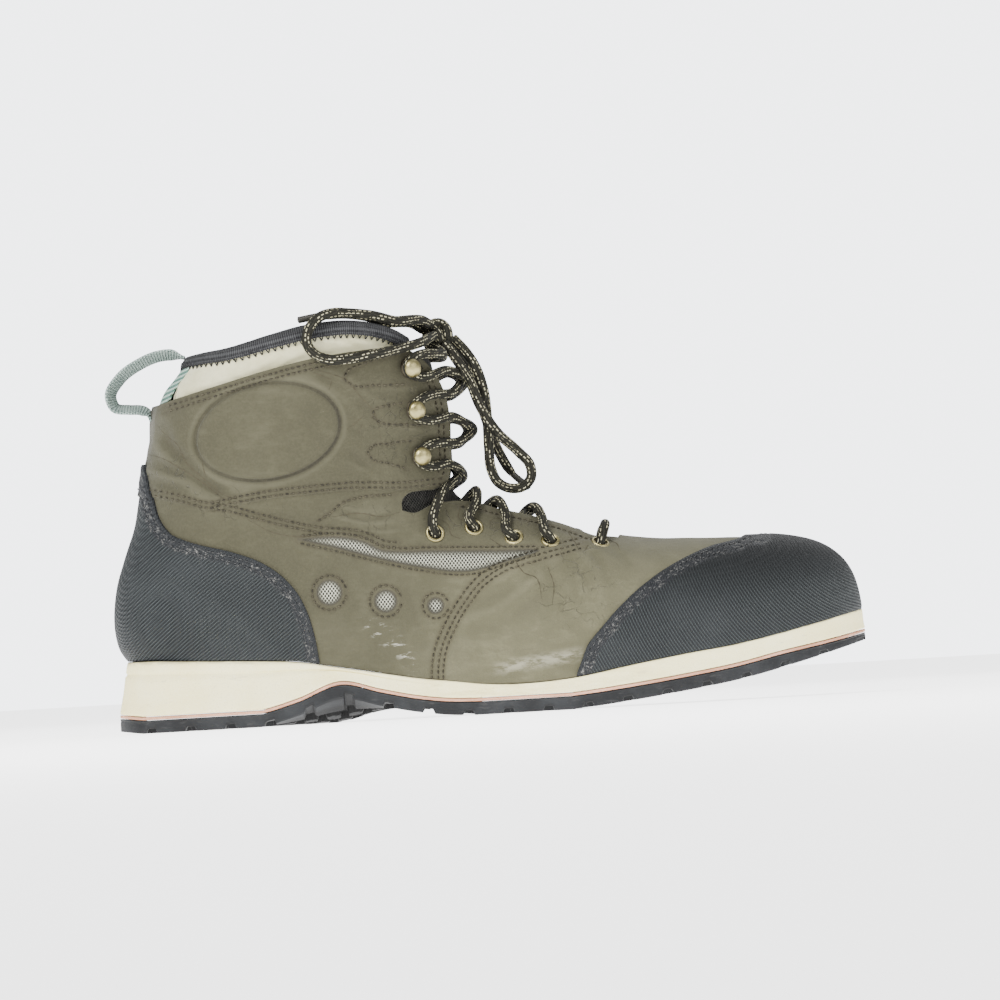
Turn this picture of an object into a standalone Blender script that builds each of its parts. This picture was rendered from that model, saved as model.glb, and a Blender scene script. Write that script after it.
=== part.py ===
"""Right wading boot, 7 inch, empty and standing on its sole.

X runs from heel to toe, Y to the inner side of the foot, Z up. Points are worked out from the
heel's back at x = 0, and an empty moves all pieces so that the heel's resting spot is at the origin.
"""

import math

import bmesh
import bpy
import numpy as np
from mathutils import Vector

# Main sizes, in metres
LENGTH = 0.326
BALL_WIDTH = 0.111
HEEL_WIDTH = 0.076
INSTEP_HEIGHT = 0.093
COLLAR_HEIGHT = 0.173
ANKLE_WIDTH = 0.075
COLLAR_WIDTH = 0.090
HEEL_LIFT = 0.0315

# Walls and layers
WALL = 0.0024
GAP = 0.0003
OVERLAY = 0.0013
OUTSOLE = 0.0055
LUG_DEPTH = 0.003
LUG_PITCH = 0.0163
LUG_SHARE = 0.64
PLY = 0.0013
INSOLE = 0.004
CUFF_WALL = 0.0034
TONGUE_WALL = 0.003
BINDING = 0.0013
BINDING_DROP = 0.0045
CUFF_TUCK = 0.0075
CUFF_FACE = WALL + 2.5 * GAP
PANEL_STEP = 0.0009
PANEL_BEVEL = 0.0006

# How the upper sits on the sole
HEEL_FLARE = 0.0045
FORE_FLARE = 0.0008
LEDGE = 0.0008
BELLY = 0.0030
BELLY_RISE = 0.024
SIDE_STEP = 0.0007
STEP_HEIGHT = 0.24

# Roundness of the last's ends, and of its cross-section
TOE_ROUND = 0.075
HEEL_ROUND = 0.038
LEG_ROUND = 0.050
FULLNESS = 2.15
CORNER = 4.0
INWARD_SWING = 0.010

# Trim
EYELET_RADIUS = 0.0042
EYELET_HOLE = 0.0025
EYELET_HEIGHT = 0.0011
HOOK_STEM = 0.0019
HOOK_HEAD = 0.0038
HOOK_HEIGHT = 0.0088
LACE = 0.0044
LACE_SIDES = 1
BOW_SIDES = 1
BOW_STEP = 2.6 * LACE
LACE_LIFT = 3 * GAP + EYELET_HEIGHT + LACE / 2
KNOT = (0.0055, 0.0075, 0.0060)
KNOT_CENTRE = (0.1465, 0, 0.1655)
KNOT_GRIP = 0.6
WEBBING_WIDTH = 0.013
WEBBING = 0.0014

LATERAL, MEDIAL = -1, 1

# Half-widths of the sole from its centre line: station as a share of the length, then the lateral and
# the medial side as shares of the width, which grows from the heel's to the ball's
SOLE_WIDTHS = (
    (0.00, 0.500, 0.500),
    (0.12, 0.500, 0.500),
    (0.26, 0.480, 0.450),
    (0.38, 0.430, 0.350),
    (0.50, 0.440, 0.375),
    (0.62, 0.485, 0.450),
    (0.71, 0.498, 0.495),
    (0.80, 0.490, 0.492),
    (0.90, 0.470, 0.470),
    (1.00, 0.450, 0.450),
)

# Height of the sole: station, then as shares of the heel's lift the tread under the lateral edge,
# the middle and the medial edge, and the top of the midsole
SOLE_HEIGHTS = (
    (0.000, 0.045, 0.045, 0.045, 1.005),
    (0.035, 0.000, 0.000, 0.000, 1.000),
    (0.120, 0.000, 0.000, 0.000, 0.957),
    (0.190, 0.000, 0.000, 0.000, 0.920),
    (0.240, 0.130, 0.000, 0.030, 0.880),
    (0.300, 0.335, 0.015, 0.240, 0.760),
    (0.350, 0.200, 0.130, 0.290, 0.660),
    (0.400, 0.080, 0.150, 0.230, 0.560),
    (0.440, 0.020, 0.070, 0.110, 0.500),
    (0.485, 0.000, 0.000, 0.000, 0.430),
    (0.600, 0.000, 0.000, 0.000, 0.435),
    (0.670, 0.065, 0.065, 0.065, 0.550),
    (0.750, 0.165, 0.165, 0.165, 0.675),
    (0.830, 0.290, 0.290, 0.290, 0.785),
    (0.910, 0.480, 0.480, 0.480, 0.950),
    (1.000, 0.730, 0.730, 0.730, 1.165),
)

# Lines of the outsole's underside from the lateral edge at -1 to the medial edge at 1, and whether
# each lies in a channel between two rows of lugs
LUG_COLUMNS = (
    (-1.0, False), (-0.48, False), (-0.43, True), (-0.33, True), (-0.28, False),
    (0.28, False), (0.33, True), (0.43, True), (0.48, False), (1.0, False),
)

# Side outlines of the upper. Across: share of the length. Up: level, which is 1 at the instep's
# height and 2 at the collar's
HEEL_BACK = (
    (0.0202, 0.34), (0.0092, 0.40), (0.0049, 0.47), (0.0043, 0.54), (0.0098, 0.68), (0.0227, 0.82),
    (0.0371, 0.955), (0.0461, 1.11), (0.0538, 1.27), (0.0628, 1.43), (0.0670, 1.59),
    (0.0790, 1.70), (0.0960, 1.78), (0.1130, 1.88), (0.1250, 2.00),
)
# Front of the closed form, with its roundness as a share of the instep's height
FRONT = (
    (0.428, 2.35, 0.62), (0.450, 1.93, 0.62), (0.4655, 1.62, 0.64), (0.4705, 1.40, 0.67),
    (0.470, 1.20, 0.71), (0.479, 1.07, 0.76), (0.508, 1.005, 0.76), (0.555, 0.960, 0.74),
    (0.606, 0.893, 0.69), (0.655, 0.822, 0.65), (0.705, 0.783, 0.61), (0.760, 0.771, 0.58),
    (0.845, 0.764, 0.55), (0.920, 0.761, 0.54), (1.060, 0.752, 0.54),
)
LEATHER_TOP = (
    (0.0770, 1.635), (0.104, 1.675), (0.158, 1.72), (0.213, 1.773), (0.267, 1.82), (0.321, 1.85),
    (0.361, 1.855), (0.390, 1.848),
)
FLAP = (
    (0.390, 1.848), (0.412, 1.825), (0.434, 1.745), (0.448, 1.655), (0.456, 1.555), (0.459, 1.45),
    (0.459, 1.34), (0.457, 1.18), (0.449, 1.085), (0.436, 1.030), (0.414, 0.995), (0.392, 0.965),
)
EYESTAY = (
    (0.392, 0.965), (0.408, 0.952), (0.432, 0.985), (0.456, 1.000), (0.483, 0.996), (0.523, 0.951),
    (0.575, 0.900), (0.615, 0.852), (0.650, 0.800), (0.680, 0.785),
)
CUFF_TOP = (
    (0.112, 1.870), (0.173, 1.885), (0.227, 1.925), (0.282, 1.965), (0.336, 1.980), (0.376, 1.958),
    (0.400, 1.925), (0.417, 1.885),
)
TOE_CAP_EDGE = (
    (0.610, 0.158), (0.616, 0.205), (0.628, 0.297), (0.645, 0.363), (0.673, 0.461),
    (0.715, 0.574), (0.757, 0.655), (0.798, 0.712), (0.839, 0.745), (0.865, 0.800),
)
COUNTER_EDGE = (
    (0.2715, 0.289), (0.268, 0.392), (0.260, 0.512), (0.248, 0.608), (0.229, 0.691),
    (0.204, 0.757), (0.165, 0.816), (0.119, 0.863), (0.086, 0.914), (0.072, 0.980), (0.070, 1.10),
    (0.072, 1.31),
)
# Lower edge of the ankle panel, a second layer of leather from there to the top
PANEL_EDGE = (
    (0.054, 1.110), (0.095, 1.070), (0.135, 1.019), (0.180, 1.041), (0.217, 1.060), (0.2745, 1.074),
    (0.332, 1.081), (0.391, 1.068), (0.451, 1.080),
)
# The pull loop's strip, from the back of the collar out and down to the leather
PULL_LOOP = (
    (0.1129, 1.865), (0.0966, 1.885), (0.0798, 1.883), (0.0525, 1.845), (0.0245, 1.7675),
    (0.0113, 1.6775), (0.0166, 1.616), (0.0356, 1.593), (0.0525, 1.5775), (0.0580, 1.531),
    (0.0562, 1.465),
)

# Centres of the trim on the side outline, from the toe up
EYELETS = ((0.652, 0.765), (0.586, 0.788), (0.538, 0.812), (0.486, 0.869), (0.434, 0.852))
HOOKS = ((0.420, 1.250), (0.416, 1.500), (0.411, 1.728))

# Routes of the bow, in metres from the heel's back. Each loop and each end leaves the knot and lies on
# what is under it: the left ones on the collar's rim, the right ones on the lacing of the vamp
LOOP_LEFT = (
    (0.1443, -0.0063, 0.1703), (0.1405, -0.0155, 0.1722), (0.1360, -0.0230, 0.1722),
    (0.1295, -0.0300, 0.1719), (0.1206, -0.0355, 0.1744), (0.1099, -0.0396, 0.1760),
    (0.1035, -0.0425, 0.1764), (0.0972, -0.0456, 0.1747), (0.0925, -0.0478, 0.1700),
    (0.0912, -0.0488, 0.1640), (0.0942, -0.0491, 0.1590), (0.1002, -0.0489, 0.1562),
    (0.1080, -0.0477, 0.1560), (0.1180, -0.0448, 0.1573), (0.1282, -0.0402, 0.1590),
    (0.1362, -0.0340, 0.1608), (0.1412, -0.0248, 0.1626), (0.1438, -0.0155, 0.1643),
    (0.1457, -0.0091, 0.1652),
)
END_LEFT = (
    (0.1409, -0.0026, 0.1686), (0.1365, -0.0098, 0.1712), (0.1315, -0.0182, 0.1716),
    (0.1262, -0.0258, 0.1716), (0.1188, -0.0306, 0.1741), (0.1086, -0.0346, 0.1759),
    (0.0978, -0.0370, 0.1757), (0.0880, -0.0376, 0.1743),
)
LOOP_RIGHT = (
    (0.1503, -0.0056, 0.1616), (0.1545, -0.0092, 0.1550), (0.1600, -0.0115, 0.1450),
    (0.1642, -0.0124, 0.1332), (0.1710, -0.0120, 0.1215), (0.1795, -0.0112, 0.1128),
    (0.1842, -0.0106, 0.1068), (0.1842, -0.0102, 0.1010), (0.1802, -0.0098, 0.0975),
    (0.1748, -0.0092, 0.0973), (0.1698, -0.0084, 0.1003), (0.1673, -0.0076, 0.1060),
    (0.1668, -0.0068, 0.1156), (0.1668, -0.0062, 0.1288), (0.1660, -0.0054, 0.1402),
    (0.1632, -0.0040, 0.1505), (0.1590, -0.0022, 0.1580), (0.1540, -0.0010, 0.1640),
)
END_RIGHT = (
    (0.1508, 0.0048, 0.1618), (0.1568, 0.0062, 0.1540), (0.1630, 0.0076, 0.1400),
    (0.1668, 0.0086, 0.1262), (0.1710, 0.0094, 0.1138), (0.1768, 0.0100, 0.1035),
    (0.1835, 0.0104, 0.0975),
)

PARTS = bpy.data.collections.new("wading_boot")
CUTTERS = bpy.data.collections.new("cutters")


def clear_scene():
    for thing in list(bpy.data.objects):
        bpy.data.objects.remove(thing, do_unlink=True)
    for group in (PARTS, CUTTERS):
        bpy.context.scene.collection.children.link(group)


def material(name, colour, roughness, metallic=0.0):
    made = bpy.data.materials.new(name)
    made.use_nodes = True
    shader = made.node_tree.nodes["Principled BSDF"]
    shader.inputs["Base Color"].default_value = (*colour, 1.0)
    shader.inputs["Roughness"].default_value = roughness
    shader.inputs["Metallic"].default_value = metallic
    made.diffuse_color = (*colour, 1.0)
    return made


def smooth(knots, values, at):
    """Cubic through the values, each slope that of the chord between a knot's neighbours."""
    knots, values, at = (np.asarray(each, float) for each in (knots, values, at))
    slopes = np.gradient(values, knots, axis=0)
    left = np.clip(np.searchsorted(knots, at, "right") - 1, 0, len(knots) - 2)
    step = knots[left + 1] - knots[left]
    t = np.clip((at - knots[left]) / step, 0, 1)
    if values.ndim > 1:
        step, t = step[..., None], t[..., None]
    a, b = values[left], values[left + 1]
    da, db = slopes[left] * step, slopes[left + 1] * step
    return a + t * (da + t * (3 * (b - a) - 2 * da - db + t * (da + db - 2 * (b - a))))


def ease(t):
    t = np.clip(t, 0, 1)
    return t * t * (3 - 2 * t)


def height(level):
    above = 2 * COLLAR_HEIGHT - INSTEP_HEIGHT
    return np.interp(level, (-1, 1, 2, 3), (-INSTEP_HEIGHT, INSTEP_HEIGHT, COLLAR_HEIGHT, above))


def outline(table):
    """The rows of a side outline as points (x, z) in metres."""
    rows = np.array(table)
    return np.column_stack([rows[:, 0] * LENGTH, height(rows[:, 1])])


def along(points, shares):
    """Points at these shares of the length of a smooth curve through the given points."""
    points = np.asarray(points, float)
    chord = np.linalg.norm(np.diff(points, axis=0), axis=1)
    knots = np.concatenate([[0], np.cumsum(chord)]) / chord.sum()
    return smooth(knots, points, shares)


def widen(x, column):
    """A column of SOLE_WIDTHS at x, as a half-width in metres."""
    rows = np.array(SOLE_WIDTHS)
    share = x / LENGTH
    width = HEEL_WIDTH + (BALL_WIDTH - HEEL_WIDTH) * ease((share - 0.20) / 0.42)
    return width * smooth(rows[:, 0], rows[:, column], share)


def half_width(x, side):
    return np.where(np.asarray(side) < 0, widen(x, 1), widen(x, 2))


def centre_line(x):
    return INWARD_SWING * ease((x / LENGTH - 0.52) / 0.55) * 1.15


def sole_height(x, across):
    """Underside of the sole at x, across from -1 at the lateral edge to 1 at the medial edge."""
    rows = np.array(SOLE_HEIGHTS)
    low = smooth(rows[:, 0], rows[:, 1:4], np.asarray(x) / LENGTH)
    low = np.where(low < 0.004, 0.0, low)
    lateral, middle, medial = low[..., 0], low[..., 1], low[..., 2]
    bend = across * across
    share = middle * (1 - bend) + bend * np.where(across < 0, lateral, medial)
    return HEEL_LIFT * share


def feather(x):
    """Height at which the upper meets the midsole."""
    rows = np.array(SOLE_HEIGHTS)
    return HEEL_LIFT * smooth(rows[:, 0], rows[:, 4], np.asarray(x) / LENGTH)


def tread(x):
    """Thickness of the outsole with its lugs: it thins towards the toe."""
    return OUTSOLE * (1 - 0.45 * ease((x / LENGTH - 0.86) / 0.14))


def flare(x):
    return FORE_FLARE + (HEEL_FLARE - FORE_FLARE) * (1 - ease((x / LENGTH - 0.05) / 0.40))


def end_shape(x, back, tip):
    """1 along the middle of a plan outline, falling to 0 round its heel and toe."""
    near_toe = np.clip(1 - (tip - x) / TOE_ROUND, 0, 1)
    near_heel = np.clip(1 - (x - back) / HEEL_ROUND, 0, 1)
    return (1 - near_toe**FULLNESS - near_heel**FULLNESS).clip(0) ** (1 / FULLNESS)


def sole_edge(x, side, inset):
    """Plan outline of the sole on one side, moved in by inset along its normal."""
    y = centre_line(x) + side * half_width(x, side) * end_shape(x, 0, LENGTH)
    run, rise = np.gradient(x), np.gradient(y)
    run[[0, -1]] = 0
    size = np.hypot(run, rise)
    normal_x, normal_y = -side * rise / size, side * run / size
    normal_x[0], normal_x[-1] = -1, 1
    return x - normal_x * inset, y - normal_y * inset


def front_line(shares):
    rows = np.array(FRONT)
    points = np.column_stack([outline(rows[:, :2]), rows[:, 2] * INSTEP_HEIGHT])
    return along(points, shares)


FRONT_SAMPLES = front_line(np.linspace(0, 1, 160))


def top_of_vamp(x):
    fore = FRONT_SAMPLES[FRONT_SAMPLES[:, 0] > 0.5 * LENGTH]
    return np.interp(x, fore[:, 0], fore[:, 1]), np.interp(x, fore[:, 0], fore[:, 2])


def heel_back(z):
    line = along(outline(HEEL_BACK), np.linspace(0, 1, 80))
    return np.interp(z, line[:, 1], line[:, 0])


def toe_tip():
    return LENGTH - FORE_FLARE - 1.6 * LEDGE


def front_depth(x, z):
    """Distance from the front line into the form, and the roundness there."""
    start, end = FRONT_SAMPLES[:-1, :2], FRONT_SAMPLES[1:, :2]
    run = end - start
    to = np.stack([x, z], -1)[..., None, :] - start
    t = np.clip((to * run).sum(-1) / (run * run).sum(-1), 0, 1)
    distance = np.linalg.norm(to - t[..., None] * run, axis=-1)
    nearest = distance.argmin(-1)
    return distance.min(-1), FRONT_SAMPLES[nearest, 2]


def side_width(x, z, side):
    """Half-width of the upper before its front, toe and heel close it."""
    base = feather(x)
    low = half_width(x, side) - flare(x) - LEDGE
    belly = low + BELLY * ease((z - base) / BELLY_RISE)
    up = ease((z - INSTEP_HEIGHT) / (COLLAR_HEIGHT - INSTEP_HEIGHT))
    leg = (ANKLE_WIDTH + (COLLAR_WIDTH - ANKLE_WIDTH) * up) / 2
    start = base + 0.5 * BELLY_RISE
    share = ease((z - start) / (INSTEP_HEIGHT - start)) * (1 - ease((x / LENGTH - 0.44) / 0.20))
    return belly + (leg - belly) * share


def closing(x, z):
    """1 on the flanks of the upper, falling to 0 at its front, toe and heel lines.

    The nearness to each line is raised to CORNER and added up, so that two lines meet in a round.
    """
    depth, rounding = front_depth(x, z)
    near_front = np.clip(1 - depth / rounding, 0, 1)
    near_toe = np.clip(1 - (toe_tip() - x) / TOE_ROUND, 0, 1)
    back_round = HEEL_ROUND + (LEG_ROUND - HEEL_ROUND) * ease((z - HEEL_LIFT) / (COLLAR_HEIGHT - HEEL_LIFT))
    near_heel = np.clip(1 - (x - heel_back(z)) / back_round, 0, 1)
    near = (near_front**CORNER + near_toe**CORNER + near_heel**CORNER) ** (1 / CORNER)
    return (1 - near**FULLNESS).clip(0) ** (1 / FULLNESS)


def skin(x, z, side):
    """Points of the upper's outer face over the side plane."""
    y = centre_line(x) + side * side_width(x, z, side) * closing(x, z)
    return np.stack([x, y, z], -1)


def ridge(x):
    """Height of the vamp's top line, which rounds over at the toe."""
    top, rounding = top_of_vamp(x)
    near_toe = np.clip(1 - (toe_tip() - x) / TOE_ROUND, 0, 1)
    return top - rounding * (1 - (1 - near_toe**CORNER) ** (1 / CORNER))


def toe_front(z):
    top, rounding = top_of_vamp(toe_tip())
    near_top = np.clip(1 - (top - z) / rounding, 0, 1)
    return toe_tip() - TOE_ROUND * (1 - (1 - near_top**CORNER) ** (1 / CORNER))


def coons(bottom, top, left, right):
    """Grid of side-plane points between four edges that meet at their ends."""
    u = np.linspace(0, 1, len(bottom))[:, None, None]
    v = np.linspace(0, 1, len(left))[None, :, None]
    edges = (1 - v) * bottom[:, None] + v * top[:, None] + (1 - u) * left[None] + u * right[None]
    corners = (1 - u) * ((1 - v) * bottom[0] + v * top[0]) + u * ((1 - v) * bottom[-1] + v * top[-1])
    return edges - corners


def grid_faces(across, along_count, first=0):
    index = first + np.arange(across * along_count).reshape(across, along_count)
    a, b, c, d = index[:-1, :-1], index[1:, :-1], index[1:, 1:], index[:-1, 1:]
    return np.stack([a, b, c, d], -1).reshape(-1, 4)


def merged(points, faces, within=1e-6):
    """Points at one place made one, faces that narrow to nothing dropped, and the rest split in triangles."""
    form = bmesh.new()
    corners = [form.verts.new(point) for point in points]
    for face in faces:
        form.faces.new([corners[k] for k in face])
    bmesh.ops.remove_doubles(form, verts=form.verts, dist=within)
    loose = [corner for corner in form.verts if not corner.link_faces]
    bmesh.ops.delete(form, geom=loose, context="VERTS")
    bmesh.ops.triangulate(form, faces=form.faces, quad_method="SHORT_EDGE")
    form.verts.index_update()
    places = np.array([corner.co[:] for corner in form.verts], float)
    kept = [[corner.index for corner in face.verts] for face in form.faces]
    form.free()
    return places, kept


def vertex_normals(points, faces):
    normals = np.zeros_like(points)
    for face in faces:
        for k, corner in enumerate(face):
            before = points[face[k - 1]] - points[corner]
            after = points[face[(k + 1) % len(face)]] - points[corner]
            cross = np.cross(after, before)
            size = np.linalg.norm(cross)
            if size > 0:
                angle = math.atan2(size, float(after @ before))
                normals[corner] += cross / size * angle
    # Where the two sides' last faces face each other, their mean is taken from the points beside
    for face in faces:
        for corner in face:
            if np.linalg.norm(normals[corner]) < 1e-6:
                normals[corner] = sum(normals[each] for each in face if each != corner) * (1, 0, 1)
    return normals / np.linalg.norm(normals, axis=1, keepdims=True)


def panel_line(steps):
    """Lower edge of the ankle panel over the side plane, from the heel's back to the flap's front."""
    line = along(outline(PANEL_EDGE), steps)
    line[0, 0] = heel_back(line[0, 1])
    return line


def raised(points):
    """How far each point of the upper's face stands out: by a step from the ankle panel's edge up."""
    line = panel_line(np.linspace(0, 1, 60))
    edge = np.interp(points[:, 0], line[:, 0], line[:, 1])
    return np.where(points[:, 2] > edge + PANEL_BEVEL / 2, PANEL_STEP, 0)


def upper_sheet():
    """The upper's outer face, as points, faces and outward normals.

    The foot is a patch from the feather line to the waist, the throat and the ridge. The leg is a patch
    from the waist to the ankle panel's edge and one from there to the top of the leather, with a narrow
    strip between for the panel's step. All are made for each side and merged.
    """
    turns = np.linspace(0, 1, 13)
    waist_steps = 0.45 * turns + 0.55 * (1 - np.cos(math.pi * turns)) / 2
    waist_end = outline(EYESTAY)[0]
    waist_back = np.array([heel_back(waist_end[1]), waist_end[1]])
    waist = waist_back + waist_steps[:, None] * (waist_end - waist_back)
    throat = along(outline(EYESTAY), np.linspace(0, 1, 9))
    throat[-1, 1] = ridge(throat[-1, 0])
    corner_x = toe_tip() - TOE_ROUND * (1 - 0.5 ** (1 / CORNER))
    crest_x = np.linspace(throat[-1, 0], corner_x, 9)
    crest = np.column_stack([crest_x, ridge(crest_x)])
    foot_top = np.vstack([waist, throat[1:], crest[1:]])

    rows = np.sin(np.linspace(0, math.pi / 2, 8)) * 0.75 + np.linspace(0, 1, 8) * 0.25
    back_z = feather(0) + rows * (waist_back[1] - feather(0))
    foot_left = np.column_stack([heel_back(back_z), back_z])
    foot_left[-1] = waist[0]
    front_z = feather(LENGTH) + rows * (crest[-1, 1] - feather(LENGTH))
    foot_right = np.column_stack([toe_front(front_z), front_z])
    foot_right[-1] = foot_top[-1]
    toe_steps = np.sin(np.linspace(0, math.pi / 2, 9))[1:]
    bottom_x = np.concatenate([
        foot_left[0, 0] + waist_steps * (0.40 * LENGTH - foot_left[0, 0]),
        np.linspace(0.40, 0.675, 9)[1:] * LENGTH,
        0.675 * LENGTH + toe_steps * (foot_right[0, 0] - 0.675 * LENGTH),
    ])
    foot_bottom = np.column_stack([bottom_x, feather(bottom_x)])
    foot_right[0, 1] = foot_bottom[-1, 1]
    foot_left[0, 1] = foot_bottom[0, 1]
    foot = coons(foot_bottom, foot_top, foot_left, foot_right)

    leather = along(outline(LEATHER_TOP), waist_steps)
    leather[0, 0] = heel_back(leather[0, 1])
    low_edge = panel_line(waist_steps)
    high_edge = low_edge + (0, PANEL_BEVEL)
    high_edge[0, 0] = heel_back(high_edge[0, 1])
    flap = along(outline(FLAP)[::-1], np.linspace(0, 1, 80))
    leg = []
    for low, high, rows in ((waist, low_edge, 3), (high_edge, leather, 7)):
        left_z = np.linspace(low[0, 1], high[0, 1], rows)
        left = np.column_stack([heel_back(left_z), left_z])
        right_z = np.linspace(low[-1, 1], high[-1, 1], rows)
        right = np.column_stack([np.interp(right_z, flap[:, 1], flap[:, 0]), right_z])
        if low is waist:
            left[0], right[0] = waist[0], waist[-1]
        low[0], low[-1], high[0], high[-1] = left[0], right[0], left[-1], right[-1]
        leg.append(coons(low, high, left, right))
    leg = np.concatenate(leg, axis=1)

    points, faces = [], []
    for side in (LATERAL, MEDIAL):
        for patch, ridge_from in ((foot, len(waist) + len(throat) - 2), (leg, None)):
            sheet = skin(patch[..., 0], patch[..., 1], side)
            sheet[0, :, 1] = 0
            if ridge_from:
                sheet[ridge_from:, -1, 1] = centre_line(sheet[ridge_from:, -1, 0])
                sheet[-1, :, 1] = centre_line(sheet[-1, :, 0])
            made = grid_faces(*patch.shape[:2], first=sum(len(each) for each in points))
            faces.extend(made[:, ::-1] if side > 0 else made)
            points.append(sheet.reshape(-1, 3))
    points, faces = merged(np.vstack(points), faces)
    normals = vertex_normals(points, faces)
    low = points[:, 2] < feather(points[:, 0]) + 1e-6
    normals[low, 2] = 0
    return points, faces, normals / np.linalg.norm(normals, axis=1, keepdims=True)


def rim_edges(faces):
    """Edges that one face alone has, in that face's direction."""
    seen = {}
    for face in faces:
        for a, b in zip(face, face[1:] + face[:1]):
            seen[(a, b)] = True
    return [(a, b) for a, b in seen if (b, a) not in seen]


def shell(sheet, inner, outer):
    """Closed wall between two offsets of a sheet along its normals."""
    points, faces, normals = sheet
    count = len(points)
    outside = points + normals * np.reshape(outer, (-1, 1))
    inside = points + normals * np.reshape(inner, (-1, 1))
    walls = [(b, a, a + count, b + count) for a, b in rim_edges(faces)]
    inner_faces = [[each + count for each in reversed(face)] for face in faces]
    return np.vstack([outside, inside]), [list(face) for face in faces] + inner_faces + walls


def add(name, points, faces, finish, collection=PARTS):
    mesh = bpy.data.meshes.new(name)
    mesh.from_pydata([tuple(p) for p in points], [], [tuple(int(c) for c in face) for face in faces])
    form = bmesh.new()
    form.from_mesh(mesh)
    bmesh.ops.remove_doubles(form, verts=form.verts, dist=1e-6)
    bmesh.ops.recalc_face_normals(form, faces=form.faces)
    form.to_mesh(mesh)
    form.free()
    mesh.materials.append(finish)
    mesh.shade_smooth()
    mesh.set_sharp_from_angle(angle=math.radians(40))
    made = bpy.data.objects.new(name, mesh)
    collection.objects.link(made)
    return made


def cutter(name, edge, closing_points):
    """Prism across the boot over a region of the side plane."""
    border = np.vstack([edge, closing_points])
    count, reach = len(border), BALL_WIDTH
    low = np.column_stack([border[:, 0], np.full(count, -reach), border[:, 1]])
    high = low + (0, 2 * reach, 0)
    sides = [(k, (k + 1) % count, (k + 1) % count + count, k + count) for k in range(count)]
    faces = sides + [range(count), range(count, 2 * count)]
    made = add(name, np.vstack([low, high]), faces, FINISH["cut"], CUTTERS)
    made.display_type = "WIRE"
    made.hide_render = True
    return made


def boolean(made, other, operation):
    change = made.modifiers.new(operation.lower(), "BOOLEAN")
    change.operation = operation
    change.object = other
    change.solver = "EXACT"


def add_overlay(name, sheet, edge, closing_points, finish):
    """A layer over the upper: the shell above its outer face, kept inside a region of the side plane."""
    step = raised(sheet[0])
    made = add(name, *shell(sheet, step + GAP, step + GAP + OVERLAY), finish)
    boolean(made, cutter(name + "_region", edge, closing_points), "INTERSECT")
    return made


def add_upper(sheet):
    return add("upper", *shell(sheet, -WALL, raised(sheet[0])), FINISH["leather"])


def above_sole(start, end):
    """Points just over the feather line, which an overlay's lower edge follows."""
    x = np.linspace(start, end, 9)
    return np.column_stack([x, feather(x) + 2 * GAP])


def add_toe_cap(sheet):
    edge = along(outline(TOE_CAP_EDGE), np.linspace(0, 1, 16))
    far = np.array([(1.1 * LENGTH, edge[-1, 1]), (1.1 * LENGTH, feather(LENGTH))])
    border = np.vstack([far, above_sole(LENGTH, edge[0, 0])])
    return add_overlay("toe_cap", sheet, edge[1:], border, FINISH["ribbed"])


def add_heel_counter(sheet):
    edge = along(outline(COUNTER_EDGE), np.linspace(0, 1, 18))
    far = np.array([(-0.1 * LENGTH, edge[-1, 1]), (-0.1 * LENGTH, feather(0) + 2 * GAP)])
    border = np.vstack([far, above_sole(0, edge[0, 0])])
    return add_overlay("heel_counter", sheet, edge[1:], border, FINISH["ribbed"])


def lug_rows():
    return round(LENGTH / LUG_PITCH)


def sole_stations():
    """Stations that all layers of the sole share, and which of them lie at the floor of a groove.

    Each row has a lug's start, its end and the groove after it; heel and toe get more, for their round.
    """
    phases = np.array([0.0, LUG_SHARE, (1 + LUG_SHARE) / 2])
    rows = ((np.arange(lug_rows())[:, None] + phases) / lug_rows()).reshape(-1)
    groove = np.tile([False, False, True], lug_rows())
    inside = (rows > 0.03) & (rows < 0.975)
    ends = np.array([0, 0.002, 0.009, 0.021, 0.982, 0.992, 0.998, 1.0])
    share = np.concatenate([rows[inside], ends])
    groove = np.concatenate([groove[inside], np.zeros(len(ends), bool)])
    order = share.argsort()
    return share[order] * LENGTH, groove[order]


def sole_solid(name, lines, finish):
    """Solid through closed rings of lines that run from heel to toe, each an array of points.

    Each quad is split from its lateral corner at the heel's end, so that layers lie parallel.
    """
    grid = np.stack(lines, 1)
    ends = grid[[0, -1], :, 0]
    grid[[0, -1], :, 1] = centre_line(ends)
    count = grid.shape[1]
    faces = []
    for s in range(len(grid) - 1):
        for k in range(count):
            n = (k + 1) % count
            a, b, c, d = s * count + k, s * count + n, (s + 1) * count + n, (s + 1) * count + k
            outward = grid[s, n, 1] > grid[s, k, 1]
            faces.extend([(a, b, c), (a, c, d)] if outward else [(a, b, d), (b, c, d)])
    return add(name, *merged(grid.reshape(-1, 3), faces), finish)


def edge_line(side, inset, rise):
    """Line of points along one edge of the sole, at a height that depends on x and the side."""
    stations, _ = sole_stations()
    x, y = sole_edge(stations, side, inset(stations))
    return np.column_stack([x, y, rise(stations, side)])


def full_width(x):
    return 0 * x


def add_midsole():
    """Foam wedge with a step low on its side, drawn in towards the upper."""

    def level(share):
        def rise(x, side):
            base = sole_height(x, side) + tread(x) + PLY + 2 * GAP
            return base + share * (feather(x) - GAP - base)

        return rise

    def inset(share, step=0.0):
        return lambda x: share * flare(x) + step * (1 - ease((x / LENGTH - 0.30) / 0.15))

    share = 1 - STEP_HEIGHT
    levels = (
        (inset(0), level(0)), (inset(share, SIDE_STEP), level(share)),
        (inset(share), level(share + 0.04)), (inset(1), level(1)),
    )
    lines = [edge_line(MEDIAL, *each) for each in levels]
    lines += [edge_line(LATERAL, *each) for each in levels[::-1]]
    return sole_solid("midsole", lines, FINISH["foam"])


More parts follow.
